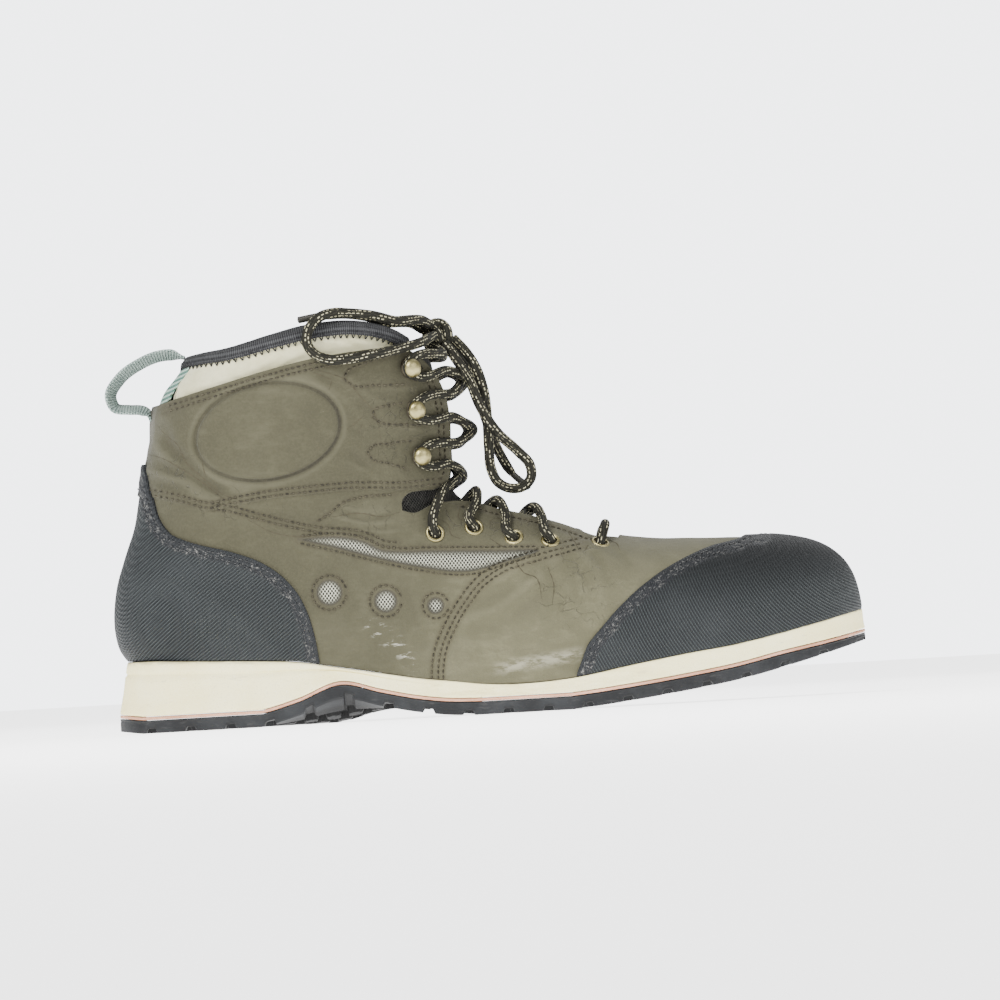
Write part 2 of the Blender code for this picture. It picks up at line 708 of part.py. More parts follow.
def add_ply():
    """Thin sheet between the outsole and the midsole."""

    def level(lift):
        return lambda x, side: sole_height(x, side) + tread(x) + GAP + lift

    levels = ((full_width, level(0)), (full_width, level(PLY)))
    lines = [edge_line(MEDIAL, *each) for each in levels]
    lines += [edge_line(LATERAL, *each) for each in levels[::-1]]
    return sole_solid("outsole_ply", lines, FINISH["salmon"])


def add_outsole():
    """Slab with three rows of lugs, an edge row on each side and a middle row between two channels."""
    x, groove = sole_stations()
    edges = [np.column_stack(sole_edge(x, side, full_width(x))) for side in (LATERAL, MEDIAL)]
    lines = []
    for across, channel in LUG_COLUMNS:
        place = edges[0] + (edges[1] - edges[0]) * (across + 1) / 2
        depth = np.where(groove | channel, np.minimum(LUG_DEPTH, 0.6 * tread(x)), 0)
        depth[[0, -1]] = 0
        lines.append(np.column_stack([place, sole_height(x, across) + depth]))
    for side in (MEDIAL, LATERAL):
        place = edges[side > 0]
        lines.append(np.column_stack([place, sole_height(x, side) + tread(x)]))
    lines_below, lines_above = lines[: len(LUG_COLUMNS)], lines[len(LUG_COLUMNS) :]
    for line in lines_below[1:]:
        line[[0, -1]] = lines_below[0][[0, -1]]
    return sole_solid("outsole", lines_below + lines_above, FINISH["rubber"])


def lug_centre(row):
    return LENGTH * (row + LUG_SHARE / 2) / lug_rows()


HEEL_REST = lug_centre(2)


def add_insole():
    """Plate inside the upper, as wide as the inner face lets it be."""
    turns = np.linspace(0, 1, 26)
    stations = LENGTH * (0.35 * turns + 0.65 * (1 - np.cos(math.pi * turns)) / 2)
    back, tip = heel_back(feather(0)), toe_tip()
    x = back + stations / LENGTH * (tip - back)
    inner = WALL + 2.5 * GAP
    sides = []
    for side in (LATERAL, MEDIAL):
        y = skin(x, feather(x), side)[:, 1]
        y[[0, -1]] = centre_line(x[[0, -1]])
        run, rise = np.gradient(x), np.gradient(y)
        run[[0, -1]] = 0
        size = np.hypot(run, rise)
        normal_x, normal_y = -side * rise / size, side * run / size
        normal_x[0], normal_x[-1] = -1, 1
        sides.append(np.column_stack([x - normal_x * inner, y - normal_y * inner]))
    loop = []
    for lift, order in ((0, (0, 1)), (INSOLE, (1, 0))):
        for k in order:
            plan = sides[k]
            loop.append(np.column_stack([plan, feather(plan[:, 0]) + lift]))
    grid = np.stack(loop, 1)
    grid[[0, -1], :, 1] = centre_line(grid[[0, -1], :, 0])
    faces = []
    for s in range(len(x) - 1):
        for k in range(4):
            n = (k + 1) % 4
            faces.append((s * 4 + k, s * 4 + n, (s + 1) * 4 + n, (s + 1) * 4 + k))
    points, faces = merged(grid.reshape(-1, 3), faces)
    return add("insole", points, faces, FINISH["lining"])


def dome(share, y, lift):
    """Point over the closed form's front: share along the front line, y across, lift above it."""
    share, y, lift = np.broadcast_arrays(*(np.asarray(each, float) for each in (share, y, lift)))
    here = front_line(share)
    step = 1e-3
    run = front_line(share + step)[..., :2] - front_line(share - step)[..., :2]
    run /= np.linalg.norm(run, axis=-1, keepdims=True)
    inward = np.stack([run[..., 1], -run[..., 0]], -1)
    rounding = here[..., 2]
    side = np.where(y < 0, LATERAL, MEDIAL)
    depth = np.zeros_like(y)
    for _ in range(4):
        at = here[..., :2] + inward * depth[..., None]
        width = side_width(at[..., 0], at[..., 1], side)
        spread = np.clip(np.abs(y) / width, 0, 0.98)
        depth = rounding * (1 - (1 - spread**FULLNESS) ** (1 / FULLNESS))
    at = here[..., :2] + inward * depth[..., None]
    near = 1 - depth / rounding
    out_front = near ** (FULLNESS - 1) / rounding
    out_side = spread ** (FULLNESS - 1) / width
    size = np.hypot(out_front, out_side)
    out_front, out_side = out_front / size, out_side / size
    plane = at - inward * (out_front * lift)[..., None]
    return np.stack([plane[..., 0], centre_line(at[..., 0]) + y + side * out_side * lift, plane[..., 1]], -1)


def share_at(x, z):
    """Share along the front line that lies nearest to a side-plane point."""
    shares = np.linspace(0, 1, 600)
    return shares[np.linalg.norm(front_line(shares)[:, :2] - (x, z), axis=1).argmin()]


def skin_normals(x, z, side):
    """Points of the upper's face at (x, z), and its outward normals."""
    step = 5e-4
    here = skin(x, z, side)
    across = skin(x + step, z, side) - here
    down = skin(x, z - step, side) - here
    normals = np.cross(across, down) * side
    return here, normals / np.linalg.norm(normals, axis=1, keepdims=True)


def place_on_skin(spot, side):
    """Point of the upper's face and its outward normal at a place on the side outline."""
    x, z = outline([spot])[0]
    here, normal = skin_normals(np.array([x]), np.array([z]), side)
    return here[0], normal[0]


def add_tongue():
    """Padded sheet under the throat, from under the vamp up to the flaps' top."""
    low, high = share_at(0.72 * LENGTH, height(0.78)), share_at(0.443 * LENGTH, height(1.82))
    shares = np.linspace(high, low, 13)
    reach = np.interp(np.linspace(0, 1, 13), (0, 0.3, 0.55, 1), (0.022, 0.027, 0.027, 0.017))
    across = np.linspace(-1, 1, 9)
    spread = np.sign(across) * np.abs(across) ** 1.15
    depth = np.interp(np.linspace(0, 1, 13), (0, 0.7, 1), (0.0064, 0.0052, WALL + 4 * GAP))
    outer = dome(shares[:, None], reach[:, None] * spread, -depth[:, None])
    inner = dome(shares[:, None], reach[:, None] * spread, -(depth + TONGUE_WALL)[:, None])
    points = np.vstack([outer.reshape(-1, 3), inner.reshape(-1, 3)])
    faces = [list(face) for face in grid_faces(13, 9)]
    count = outer.shape[0] * outer.shape[1]
    walls = [(b, a, a + count, b + count) for a, b in rim_edges(faces)]
    inner_faces = [[each + count for each in reversed(face)] for face in faces]
    return add("tongue", points, faces + inner_faces + walls, FINISH["tongue"])


def cuff_edges():
    """The cuff's top and lower edge over the side plane, from the heel to the flap's corner."""
    steps = collar_steps(11)
    top, low = along(outline(CUFF_TOP), steps), along(outline(LEATHER_TOP), steps)
    low[:, 1] -= CUFF_TUCK
    for edge in (top, low):
        edge[0, 0] = heel_back(edge[0, 1])
    return top, low


def leather_ring():
    """Sheet of the cuff: stations round the collar from one flap's corner to the other's."""
    top, low = cuff_edges()
    count = len(top)
    rows = np.linspace(0, 1, 5)[None, :, None]
    side_points = low[:, None] * (1 - rows) + top[:, None] * rows
    points, faces = [], []
    for side in (LATERAL, MEDIAL):
        sheet = skin(side_points[..., 0], side_points[..., 1], side)
        sheet[0, :, 1] = 0
        made = grid_faces(count, 5, first=sum(len(each) for each in points))
        faces.extend(made[:, ::-1] if side > 0 else made)
        points.append(sheet.reshape(-1, 3))
    points, faces = merged(np.vstack(points), faces)
    return points, faces, vertex_normals(points, faces)


def add_cuff():
    sheet = leather_ring()
    return add("cuff", *shell(sheet, -CUFF_FACE - CUFF_WALL, -CUFF_FACE), FINISH["nubuck"])


def collar_steps(count):
    """Shares along the collar from the heel to the flap, closer together at both ends."""
    turns = np.linspace(0, 1, count)
    return 0.6 * turns + 0.4 * (1 - np.cos(math.pi * turns)) / 2


def collar_path(sheet):
    """The cuff's top edge from the lateral flap round the heel to the medial one, with its normals."""
    points, _, normals = sheet
    top = cuff_edges()[0]
    lateral, medial = skin(top[:, 0], top[:, 1], LATERAL), skin(top[:, 0], top[:, 1], MEDIAL)
    lateral[0, 1] = medial[0, 1] = 0
    path = np.vstack([lateral[::-1], medial[1:]])
    nearest = [np.linalg.norm(points - place, axis=1).argmin() for place in path]
    return path, normals[nearest]


def add_collar_binding():
    """Tape folded over the cuff's top edge, with a U section."""
    path, out = collar_path(leather_ring())
    run = np.gradient(path, axis=0)
    run[len(run) // 2, [0, 2]] = 0
    up = np.cross(run, out)
    up *= np.sign(up[:, 2:3]) / np.linalg.norm(up, axis=1, keepdims=True)
    outer = -CUFF_FACE + 2 * GAP
    inner = -CUFF_FACE - CUFF_WALL - 2 * GAP
    base, top = 2 * GAP, 2 * GAP + BINDING
    section = (
        (outer + BINDING, -BINDING_DROP), (outer + BINDING, base), (outer, top), (inner, top),
        (inner - BINDING, base), (inner - BINDING, -BINDING_DROP), (inner, -BINDING_DROP),
        (inner, base), (outer, base), (outer, -BINDING_DROP),
    )
    rings = np.stack([path + out * a + up * b for a, b in section], 1)
    count = len(section)
    faces = []
    for s in range(len(path) - 1):
        for k in range(count):
            n = (k + 1) % count
            faces.append((s * count + k, s * count + n, (s + 1) * count + n, (s + 1) * count + k))
    faces.append(range(count))
    faces.append(range((len(path) - 1) * count, len(path) * count))
    return add("collar_binding", rings.reshape(-1, 3), faces, FINISH["tape"])


def add_turned(name, profile, steps, spot, side, finish):
    """Turned piece standing on the upper's face: the profile is (radius, height) pairs, closed."""
    at, normal = place_on_skin(spot, side)
    points, count = [], len(profile)
    for k in range(steps):
        turn = 2 * math.pi * k / steps
        points.extend((r * math.cos(turn), r * math.sin(turn), h) for r, h in profile)
    faces = []
    for k in range(steps):
        for j in range(count):
            n, m = (k + 1) % steps, (j + 1) % count
            faces.append((k * count + j, n * count + j, n * count + m, k * count + m))
    made = add(name, *merged(np.array(points), faces), finish)
    made.location = Vector(at)
    made.rotation_euler = Vector(normal).to_track_quat("Z", "Y").to_euler()
    return made


def add_eyelets():
    ring = (
        (EYELET_HOLE, 2 * GAP), (EYELET_RADIUS, 2 * GAP),
        (0.86 * EYELET_RADIUS, 2 * GAP + 0.7 * EYELET_HEIGHT),
        (1.15 * EYELET_HOLE, 2 * GAP + EYELET_HEIGHT),
    )
    for side, word in ((LATERAL, "lateral"), (MEDIAL, "medial")):
        for k, spot in enumerate(EYELETS, 1):
            add_turned(f"eyelet_{word}_{k}", ring, 8, spot, side, FINISH["brass"])


def add_hooks():
    foot = PANEL_STEP + 2 * GAP
    button = (
        (0, foot), (1.5 * HOOK_STEM, foot), (HOOK_STEM, foot + 0.001), (HOOK_STEM, foot + 0.6 * HOOK_HEIGHT),
        (HOOK_HEAD, foot + 0.66 * HOOK_HEIGHT), (0.7 * HOOK_HEAD, foot + 0.93 * HOOK_HEIGHT),
        (0, foot + HOOK_HEIGHT),
    )
    for side, word in ((LATERAL, "lateral"), (MEDIAL, "medial")):
        for k, spot in enumerate(HOOKS, 1):
            add_turned(f"hook_{word}_{k}", button, 8, spot, side, FINISH["brass"])


def trim_frame(spot, side):
    """Place of a piece of trim on the upper, its outward normal, and the ways up and off the throat."""
    at, normal = place_on_skin(spot, side)
    share = share_at(*outline([spot])[0])
    run = front_line(share - 1e-3) - front_line(share + 1e-3)
    up = np.array([run[0], 0, run[1]])
    up -= normal * (up @ normal)
    up /= np.linalg.norm(up)
    away = np.cross(normal, up)
    return at, normal, up, away * np.sign(away[1] * side)


def over_eyelet(spot, side):
    """Two points of a strand that turns back over an eyelet."""
    at, normal, up, away = trim_frame(spot, side)
    reach = 0.6 * LACE
    return [at + normal * (LACE_LIFT + GAP) + up * a - away * 0.2 * reach for a in (-reach, reach)]


def round_hook(spot, side):
    """Three points of a strand that passes behind a hook's stem, under its head."""
    at, normal, up, away = trim_frame(spot, side)
    reach = 1.25 * (HOOK_STEM + LACE / 2)
    around = [up * math.sin(t) + away * math.cos(t) for t in np.radians([-62, 0, 62])]
    lifts = (LACE_LIFT + 2 * GAP, LACE_LIFT, LACE_LIFT + 2 * GAP)
    return [at + normal * lift + reach * way for lift, way in zip(lifts, around)]


def strand(first):
    """Route of one half of the lace, from its lowest eyelet crosswise up the throat to the knot."""
    stops, side = [], first
    for kind, spots in ((over_eyelet, EYELETS), (round_hook, HOOKS)):
        for spot in spots:
            stops.append(kind(spot, side))
            side = -side
    route = list(stops[0])
    spots = EYELETS + HOOKS
    side = first
    for k in range(1, len(stops)):
        ends = []
        for spot, way in ((spots[k - 1], side), (spots[k], -side)):
            place = place_on_skin(spot, way)[0]
            ends.append((share_at(*outline([spot])[0]), place[1] - centre_line(place[0])))
        for t in (0.22, 0.5, 0.78):
            share, y = (1 - t) * np.array(ends[0]) + t * np.array(ends[1])
            route.append(dome(share, y, LACE_LIFT + 2 * GAP))
        route.extend(stops[k])
        side = -side
    route.append(dome(share_at(*outline([(0.455, 1.82)])[0]), side * 0.0170, LACE_LIFT))
    route.append(np.array(KNOT_CENTRE) + np.array(KNOT) * (-0.77, 0.90 * side, -0.82))
    return route


def tube(name, route, sides, finish):
    """Round cord through the route's points, with closed ends."""
    curve = bpy.data.curves.new(name, "CURVE")
    curve.dimensions = "3D"
    curve.bevel_depth = LACE / 2
    curve.bevel_resolution = sides
    curve.use_fill_caps = True
    spline = curve.splines.new("POLY")
    spline.points.add(len(route) - 1)
    for point, place in zip(spline.points, route):
        point.co = (*place, 1)
    curve.materials.append(finish)
    made = bpy.data.objects.new(name, curve)
    PARTS.objects.link(made)
    return made


def as_mesh(made):
    """The object of a curve replaced by one of its evaluated mesh, with the caps welded on."""
    view = bpy.context.evaluated_depsgraph_get()
    mesh = bpy.data.meshes.new_from_object(made.evaluated_get(view))
    form = bmesh.new()
    form.from_mesh(mesh)
    bmesh.ops.remove_doubles(form, verts=form.verts, dist=1e-6)
    form.to_mesh(mesh)
    form.free()
    name, place = made.name, made.matrix_world.copy()
    bpy.data.objects.remove(made)
    solid = bpy.data.objects.new(name, mesh)
    solid.matrix_world = place
    PARTS.objects.link(solid)
    return solid


def join(made, other):
    """Makes the other object's form part of the first one's solid."""
    boolean(made, other, "UNION")
    PARTS.objects.unlink(other)
    CUTTERS.objects.link(other)
    other.display_type = "WIRE"
    other.hide_render = True


def add_lace():
    """Both halves of the lacing, and the bar across the lowest pair of eyelets, joined in one solid."""
    first, second = strand(LATERAL), strand(MEDIAL)
    share = share_at(*outline(EYELETS[:1])[0])
    reach = second[0][1] - centre_line(second[0][0])
    bar = [second[0]] + [dome(share, t * reach, LACE_LIFT) for t in (0.5, 0, -0.5)]
    joined = as_mesh(tube("lace_crossings", bar + first, LACE_SIDES, FINISH["lace"]))
    other = as_mesh(tube("lace_second_half", second, LACE_SIDES, FINISH["lace"]))
    join(joined, other)


def add_bow():
    """The knot with the bow's two loops and two ends, all of one solid.

    Each route runs on into the knot, by KNOT_GRIP of the way from the route's end to the knot's middle.
    A strand has a point every BOW_STEP of a smooth curve.
    """
    form = bmesh.new()
    bmesh.ops.create_uvsphere(form, u_segments=10, v_segments=7, radius=1)
    bmesh.ops.scale(form, vec=KNOT, verts=form.verts)
    mesh = bpy.data.meshes.new("lace_bow")
    form.to_mesh(mesh)
    form.free()
    mesh.materials.append(FINISH["lace"])
    mesh.shade_smooth()
    made = bpy.data.objects.new("lace_bow", mesh)
    made.location = KNOT_CENTRE
    PARTS.objects.link(made)
    middle = np.array(KNOT_CENTRE)
    for name, route in (("loop_left", LOOP_LEFT), ("end_left", END_LEFT),
                        ("loop_right", LOOP_RIGHT), ("end_right", END_RIGHT)):
        route = np.array(route)
        inner = [point + (middle - point) * KNOT_GRIP for point in (route[0], route[-1])]
        count = round(np.linalg.norm(np.diff(route, axis=0), axis=1).sum() / BOW_STEP) + 1
        line = [inner[0], *along(route, np.linspace(0, 1, count))]
        if name.startswith("loop"):
            line.append(inner[1])
        join(made, as_mesh(tube("lace_" + name, line, BOW_SIDES, FINISH["lace"])))


def add_pull_loop():
    """Flat strip along its outline at the back of the collar."""
    line = along(outline(PULL_LOOP), np.linspace(0, 1, 19))
    run = np.gradient(line, axis=0)
    run /= np.linalg.norm(run, axis=1, keepdims=True)
    out = np.column_stack([run[:, 1], -run[:, 0]]) * WEBBING / 2
    rings = []
    for edge, y in ((line + out, 1), (line + out, -1), (line - out, -1), (line - out, 1)):
        rings.append(np.column_stack([edge[:, 0], np.full(len(edge), y * WEBBING_WIDTH / 2), edge[:, 1]]))
    points = np.stack(rings, 1).reshape(-1, 3)
    faces = []
    for s in range(len(line) - 1):
        for k in range(4):
            n = (k + 1) % 4
            faces.append((s * 4 + k, s * 4 + n, (s + 1) * 4 + n, (s + 1) * 4 + k))
    faces.append(range(4))
    faces.append(range(len(points) - 4, len(points)))
    add("pull_loop", points, faces, FINISH["webbing"])


FINISH = {
    "leather": material("nubuck_grey_brown", (0.150, 0.132, 0.092), 0.85),
    "ribbed": material("ribbed_fabric", (0.030, 0.034, 0.040), 0.65),
    "foam": material("cream_foam", (0.72, 0.65, 0.50), 0.80),
    "salmon": material("salmon_rubber", (0.60, 0.32, 0.22), 0.70),
    "rubber": material("black_rubber", (0.035, 0.037, 0.040), 0.60),
    "lining": material("dark_lining", (0.060, 0.060, 0.058), 0.95),
    "tongue": material("dark_textile", (0.055, 0.058, 0.060), 0.95),
    "nubuck": material("cream_nubuck", (0.60, 0.55, 0.42), 0.90),
    "tape": material("dark_tape", (0.070, 0.072, 0.085), 0.85),
    "brass": material("antique_brass", (0.45, 0.38, 0.22), 0.35, 1.0),
    "lace": material("lace_cord", (0.045, 0.042, 0.028), 0.80),
    "webbing": material("grey_green_webbing", (0.26, 0.34, 0.31), 0.85),
    "cut": material("cutter", (1, 0, 0), 1.0),
}


def main():
    clear_scene()
    sheet = upper_sheet()
    add_outsole()
    add_ply()
    add_midsole()
    add_insole()
    add_upper(sheet)
    add_toe_cap(sheet)
    add_heel_counter(sheet)
    add_tongue()
    add_cuff()
    add_collar_binding()
    add_eyelets()
    add_hooks()
    add_lace()
    add_bow()
    add_pull_loop()
    base = bpy.data.objects.new("boot", None)
    PARTS.objects.link(base)
    base.location = (-HEEL_REST, 0, 0)
    for part in list(PARTS.objects) + list(CUTTERS.objects):
        if part is not base:
            part.parent = base


main()
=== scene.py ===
"""Looks of a right wading boot of worn nubuck, laced up, standing empty on its sole.

The boot's form is a function of the side plane: a point (x, z) of the plane is carried out to one side by
the sole's half-width at x, blended into the leg's above the instep, times a factor that falls from 1 on the
flanks to 0 at the front, toe and heel lines. X runs to the toe, Y to the inner side, Z up. All sizes are in
metres from the heel's back, and BACK moves them to the frame's origin.
"""

import math

import bpy
import numpy as np
from mathutils import Matrix, Vector


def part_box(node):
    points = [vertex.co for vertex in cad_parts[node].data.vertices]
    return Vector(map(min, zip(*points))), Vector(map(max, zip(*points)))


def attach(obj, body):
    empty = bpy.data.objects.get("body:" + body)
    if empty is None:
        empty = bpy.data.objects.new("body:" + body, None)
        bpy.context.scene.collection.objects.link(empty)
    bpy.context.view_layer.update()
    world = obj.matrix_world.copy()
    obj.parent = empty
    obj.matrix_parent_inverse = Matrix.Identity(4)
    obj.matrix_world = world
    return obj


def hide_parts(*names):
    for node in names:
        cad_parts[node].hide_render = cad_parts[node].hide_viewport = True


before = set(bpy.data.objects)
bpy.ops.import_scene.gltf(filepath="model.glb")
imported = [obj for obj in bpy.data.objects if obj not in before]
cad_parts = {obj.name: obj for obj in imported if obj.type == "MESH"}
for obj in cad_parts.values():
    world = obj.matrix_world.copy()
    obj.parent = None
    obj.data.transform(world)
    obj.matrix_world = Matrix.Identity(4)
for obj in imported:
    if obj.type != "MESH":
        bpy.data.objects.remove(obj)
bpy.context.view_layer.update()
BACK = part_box("outsole")[0][0]

# Studio: a pale floor and soft light from all round. The camera stands at the boot's outer side, just
# over the floor, and is rolled as the photograph is.
VIEW_WIDTH = 0.4318
VIEW_DISTANCE = 4.0
VIEW_ROLL = math.radians(-3.3)
VIEW_AIM = Vector((0.1325, -0.030, 0.092))
CAMERA_HEIGHT = 0.016
FLOOR_SIZE, FLOOR_GLOW = 40.0, 2.9
WALL_GLOW, ROOM_LIGHT = 3.9, 0.62


class Shade:
    """A socket of a material's node tree, with arithmetic that adds Math nodes."""

    def __init__(self, tree, socket):
        self.tree, self.socket = tree, socket

    def node(self, kind, settings=(), **inputs):
        """A node of this type: its settings are set first, then its sockets get values or links."""
        made = self.tree.nodes.new("ShaderNode" + kind)
        for name, value in dict(settings).items():
            if name == "stops":
                while len(made.color_ramp.elements) < len(value):
                    made.color_ramp.elements.new(0.5)
                for stop, (place, colour) in zip(made.color_ramp.elements, value):
                    stop.position, stop.color = place, (*colour, 1.0)
            else:
                setattr(made, name, value)
        for name, value in inputs.items():
            socket = made.inputs[int(name[1:])] if name[0] == "_" else made.inputs[name.replace("_", " ")]
            if isinstance(value, Shade):
                self.tree.links.new(value.socket, socket)
            elif value is not None:
                socket.default_value = value
        return made

    def out(self, kind, settings=(), output=0, **inputs):
        return Shade(self.tree, self.node(kind, settings, **inputs).outputs[output])

    def math(self, operation, other=None, third=None):
        return self.out("Math", {"operation": operation}, _0=self, _1=other, _2=third)

    def __add__(self, other):
        return self.math("ADD", other)

    def __sub__(self, other):
        return self.math("SUBTRACT", other)

    def __mul__(self, other):
        return self.math("MULTIPLY", other)

    def __truediv__(self, other):
        return self.math("DIVIDE", other)

    def __radd__(self, other):
        return self + other

    def __rmul__(self, other):
        return self * other

    def __rsub__(self, other):
        return self.out("Math", {"operation": "SUBTRACT"}, _0=other, _1=self)

    def within(self, low, high):
        """0 below low, 1 above high, and a soft rise between them."""
        return self.out("MapRange", {"interpolation_type": "SMOOTHSTEP"}, _0=self, _1=low, _2=high)

    def mix(self, first, second):
        """The first colour where this is 0, the second where it is 1."""
        plain = [(*c, 1.0) if isinstance(c, tuple) and len(c) == 3 else c for c in (first, second)]
        return self.out("Mix", {"data_type": "RGBA"}, 2, _0=self, _6=plain[0], _7=plain[1])

    def noise(self, scale, detail=4.0, roughness=0.55, stretch=None):
        """Noise from 0 to 1 over this vector, at this many features a metre."""
        vector = self
        if stretch:
            vector = self.out("Mapping", (), Vector=self, Scale=stretch)
        return vector.out("TexNoise", (), 0, Vector=vector, Scale=scale, Detail=detail, Roughness=roughness)

    def xyz(self):
        made = self.node("SeparateXYZ", (), _0=self)
        return [Shade(self.tree, socket) for socket in made.outputs]


class Finish:
    """A material with one Principled shader, started from its plain values."""

    def __init__(self, name, roughness=0.8, metallic=0.0, **sockets):
        self.material = bpy.data.materials.new(name)
        self.material.use_nodes = True
        tree = self.material.node_tree
        self.shader = tree.nodes["Principled BSDF"]
        self.tree = tree
        self.shader.inputs["Roughness"].default_value = roughness
        self.shader.inputs["Metallic"].default_value = metallic
        self.shader.inputs["Specular IOR Level"].default_value = 0.5 if metallic else 0.22
        for name, value in sockets.items():
            self.shader.inputs[name.replace("_", " ")].default_value = value
        start = Shade(tree, None)
        self.place = start.out("TexCoord", (), 3)
        self.uv = start.out("TexCoord", (), 2)

    def attribute(self, name):
        return self.place.out("Attribute", {"attribute_name": name}, 2)

    def feed(self, colour=None, roughness=None, height=None, depth=0.0005, strength=1.0, coat=None):
        """Links what varies: a colour, a roughness and a height of so many metres for the bump."""
        for name, value in (("Base Color", colour), ("Roughness", roughness), ("Coat Weight", coat)):
            if isinstance(value, Shade):
                self.tree.links.new(value.socket, self.shader.inputs[name])
            elif isinstance(value, tuple):
                self.shader.inputs[name].default_value = (*value, 1.0)
            elif value is not None:
                self.shader.inputs[name].default_value = value
        if height is not None:
            bump = height.node("Bump", (), Strength=strength, Distance=depth, Height=height)
            self.tree.links.new(bump.outputs[0], self.shader.inputs["Normal"])
        return self.material


bpy.ops.mesh.primitive_plane_add(size=FLOOR_SIZE)
floor = bpy.context.object
floor.name = "floor"
paper = Finish("pale_floor", 0.9)
speck = paper.place.noise(40, 6)
paper.shader.inputs["Emission Color"].default_value = (1.0, 1.0, 1.0, 1.0)
paper.shader.inputs["Emission Strength"].default_value = FLOOR_GLOW
floor.data.materials.append(paper.feed(speck.mix((0.80, 0.80, 0.79), (0.86, 0.86, 0.855))))

world = bpy.data.worlds.new("studio")
bpy.context.scene.world = world
world.use_nodes = True
world.node_tree.nodes["Background"].inputs[0].default_value = (0.95, 0.97, 1.0, 1.0)
rays = Shade(world.node_tree, None).out("LightPath")
seen = rays.out("Math", {"operation": "MULTIPLY_ADD"}, _0=rays, _1=WALL_GLOW, _2=ROOM_LIGHT)
world.node_tree.links.new(seen.socket, world.node_tree.nodes["Background"].inputs[1])

LAMPS = (
    ("key_light", (-0.7, -1.5, 1.7), 0.9, 78),
    ("side_light", (1.4, -1.0, 0.9), 1.0, 14),
    ("rear_light", (0.3, 1.4, 1.3), 1.2, 12),
)
for name, place, size, power in LAMPS:
    lamp = bpy.data.lights.new(name, "AREA")
    lamp.size = size
    lamp.energy = power
    holder = bpy.data.objects.new(name, lamp)
    holder.location = place
    holder.rotation_euler = (Vector((0.12, 0, 0.07)) - Vector(place)).to_track_quat("-Z", "Y").to_euler()
    bpy.context.scene.collection.objects.link(holder)

camera_data = bpy.data.cameras.new("camera")
camera = bpy.data.objects.new("camera", camera_data)
bpy.context.scene.collection.objects.link(camera)
bpy.context.scene.camera = camera
camera_data.lens = camera_data.sensor_width * VIEW_DISTANCE / VIEW_WIDTH
camera.location = (VIEW_AIM.x, VIEW_AIM.y - VIEW_DISTANCE, CAMERA_HEIGHT)
aim = (VIEW_AIM - camera.location).to_track_quat("-Z", "Y").to_matrix().to_4x4()
camera.rotation_euler = (aim @ Matrix.Rotation(VIEW_ROLL, 4, "Z")).to_euler()
camera_data.clip_start = 0.01


# Bow: the free part of the lace, a round braided cord, tied in a knot over the throat. Its left loop and end
# lie along the collar's rim, and its right ones hang down on the lacing of the vamp. Dark olive yarn with
# tan flecks, and a hard dark tip on each end.
LACE = 0.0044
KNOT = (0.0055, 0.0075, 0.0060)
KNOT_CENTRE = (0.1465, 0, 0.1655)
TIP_LENGTH = 0.011
YARN_LANES, YARN_PITCH, DASH_PITCH, FLECK_PITCH = 10, 0.0080, 0.0021, 0.0150
LOOP_LEFT = (
    (0.1443, -0.0063, 0.1703), (0.1405, -0.0155, 0.1722), (0.1360, -0.0230, 0.1722),
    (0.1295, -0.0300, 0.1719), (0.1206, -0.0355, 0.1744), (0.1099, -0.0396, 0.1760),
    (0.1035, -0.0425, 0.1764), (0.0972, -0.0456, 0.1747), (0.0925, -0.0478, 0.1700),
    (0.0912, -0.0488, 0.1640), (0.0942, -0.0491, 0.1590), (0.1002, -0.0489, 0.1562),
    (0.1080, -0.0477, 0.1560), (0.1180, -0.0448, 0.1573), (0.1282, -0.0402, 0.1590),
    (0.1362, -0.0340, 0.1608), (0.1412, -0.0248, 0.1626), (0.1438, -0.0155, 0.1643),
    (0.1457, -0.0091, 0.1652),
)
END_LEFT = (
    (0.1409, -0.0026, 0.1686), (0.1365, -0.0098, 0.1712), (0.1315, -0.0182, 0.1716),
    (0.1262, -0.0258, 0.1716), (0.1188, -0.0306, 0.1741), (0.1086, -0.0346, 0.1759),
    (0.0978, -0.0370, 0.1757), (0.0880, -0.0376, 0.1743),
)
LOOP_RIGHT = (
    (0.1503, -0.0056, 0.1616), (0.1545, -0.0092, 0.1550), (0.1600, -0.0115, 0.1450),
    (0.1642, -0.0124, 0.1332), (0.1710, -0.0120, 0.1215), (0.1795, -0.0112, 0.1128),
    (0.1842, -0.0106, 0.1068), (0.1842, -0.0102, 0.1010), (0.1802, -0.0098, 0.0975),
    (0.1748, -0.0092, 0.0973), (0.1698, -0.0084, 0.1003), (0.1673, -0.0076, 0.1060),
    (0.1668, -0.0068, 0.1156), (0.1668, -0.0062, 0.1288), (0.1660, -0.0054, 0.1402),
    (0.1632, -0.0040, 0.1505), (0.1590, -0.0022, 0.1580), (0.1540, -0.0010, 0.1640),
)
END_RIGHT = (
    (0.1508, 0.0048, 0.1618), (0.1568, 0.0062, 0.1540), (0.1630, 0.0076, 0.1400),
    (0.1668, 0.0086, 0.1262), (0.1710, 0.0094, 0.1138), (0.1768, 0.0100, 0.1035),
    (0.1835, 0.0104, 0.0975),
)


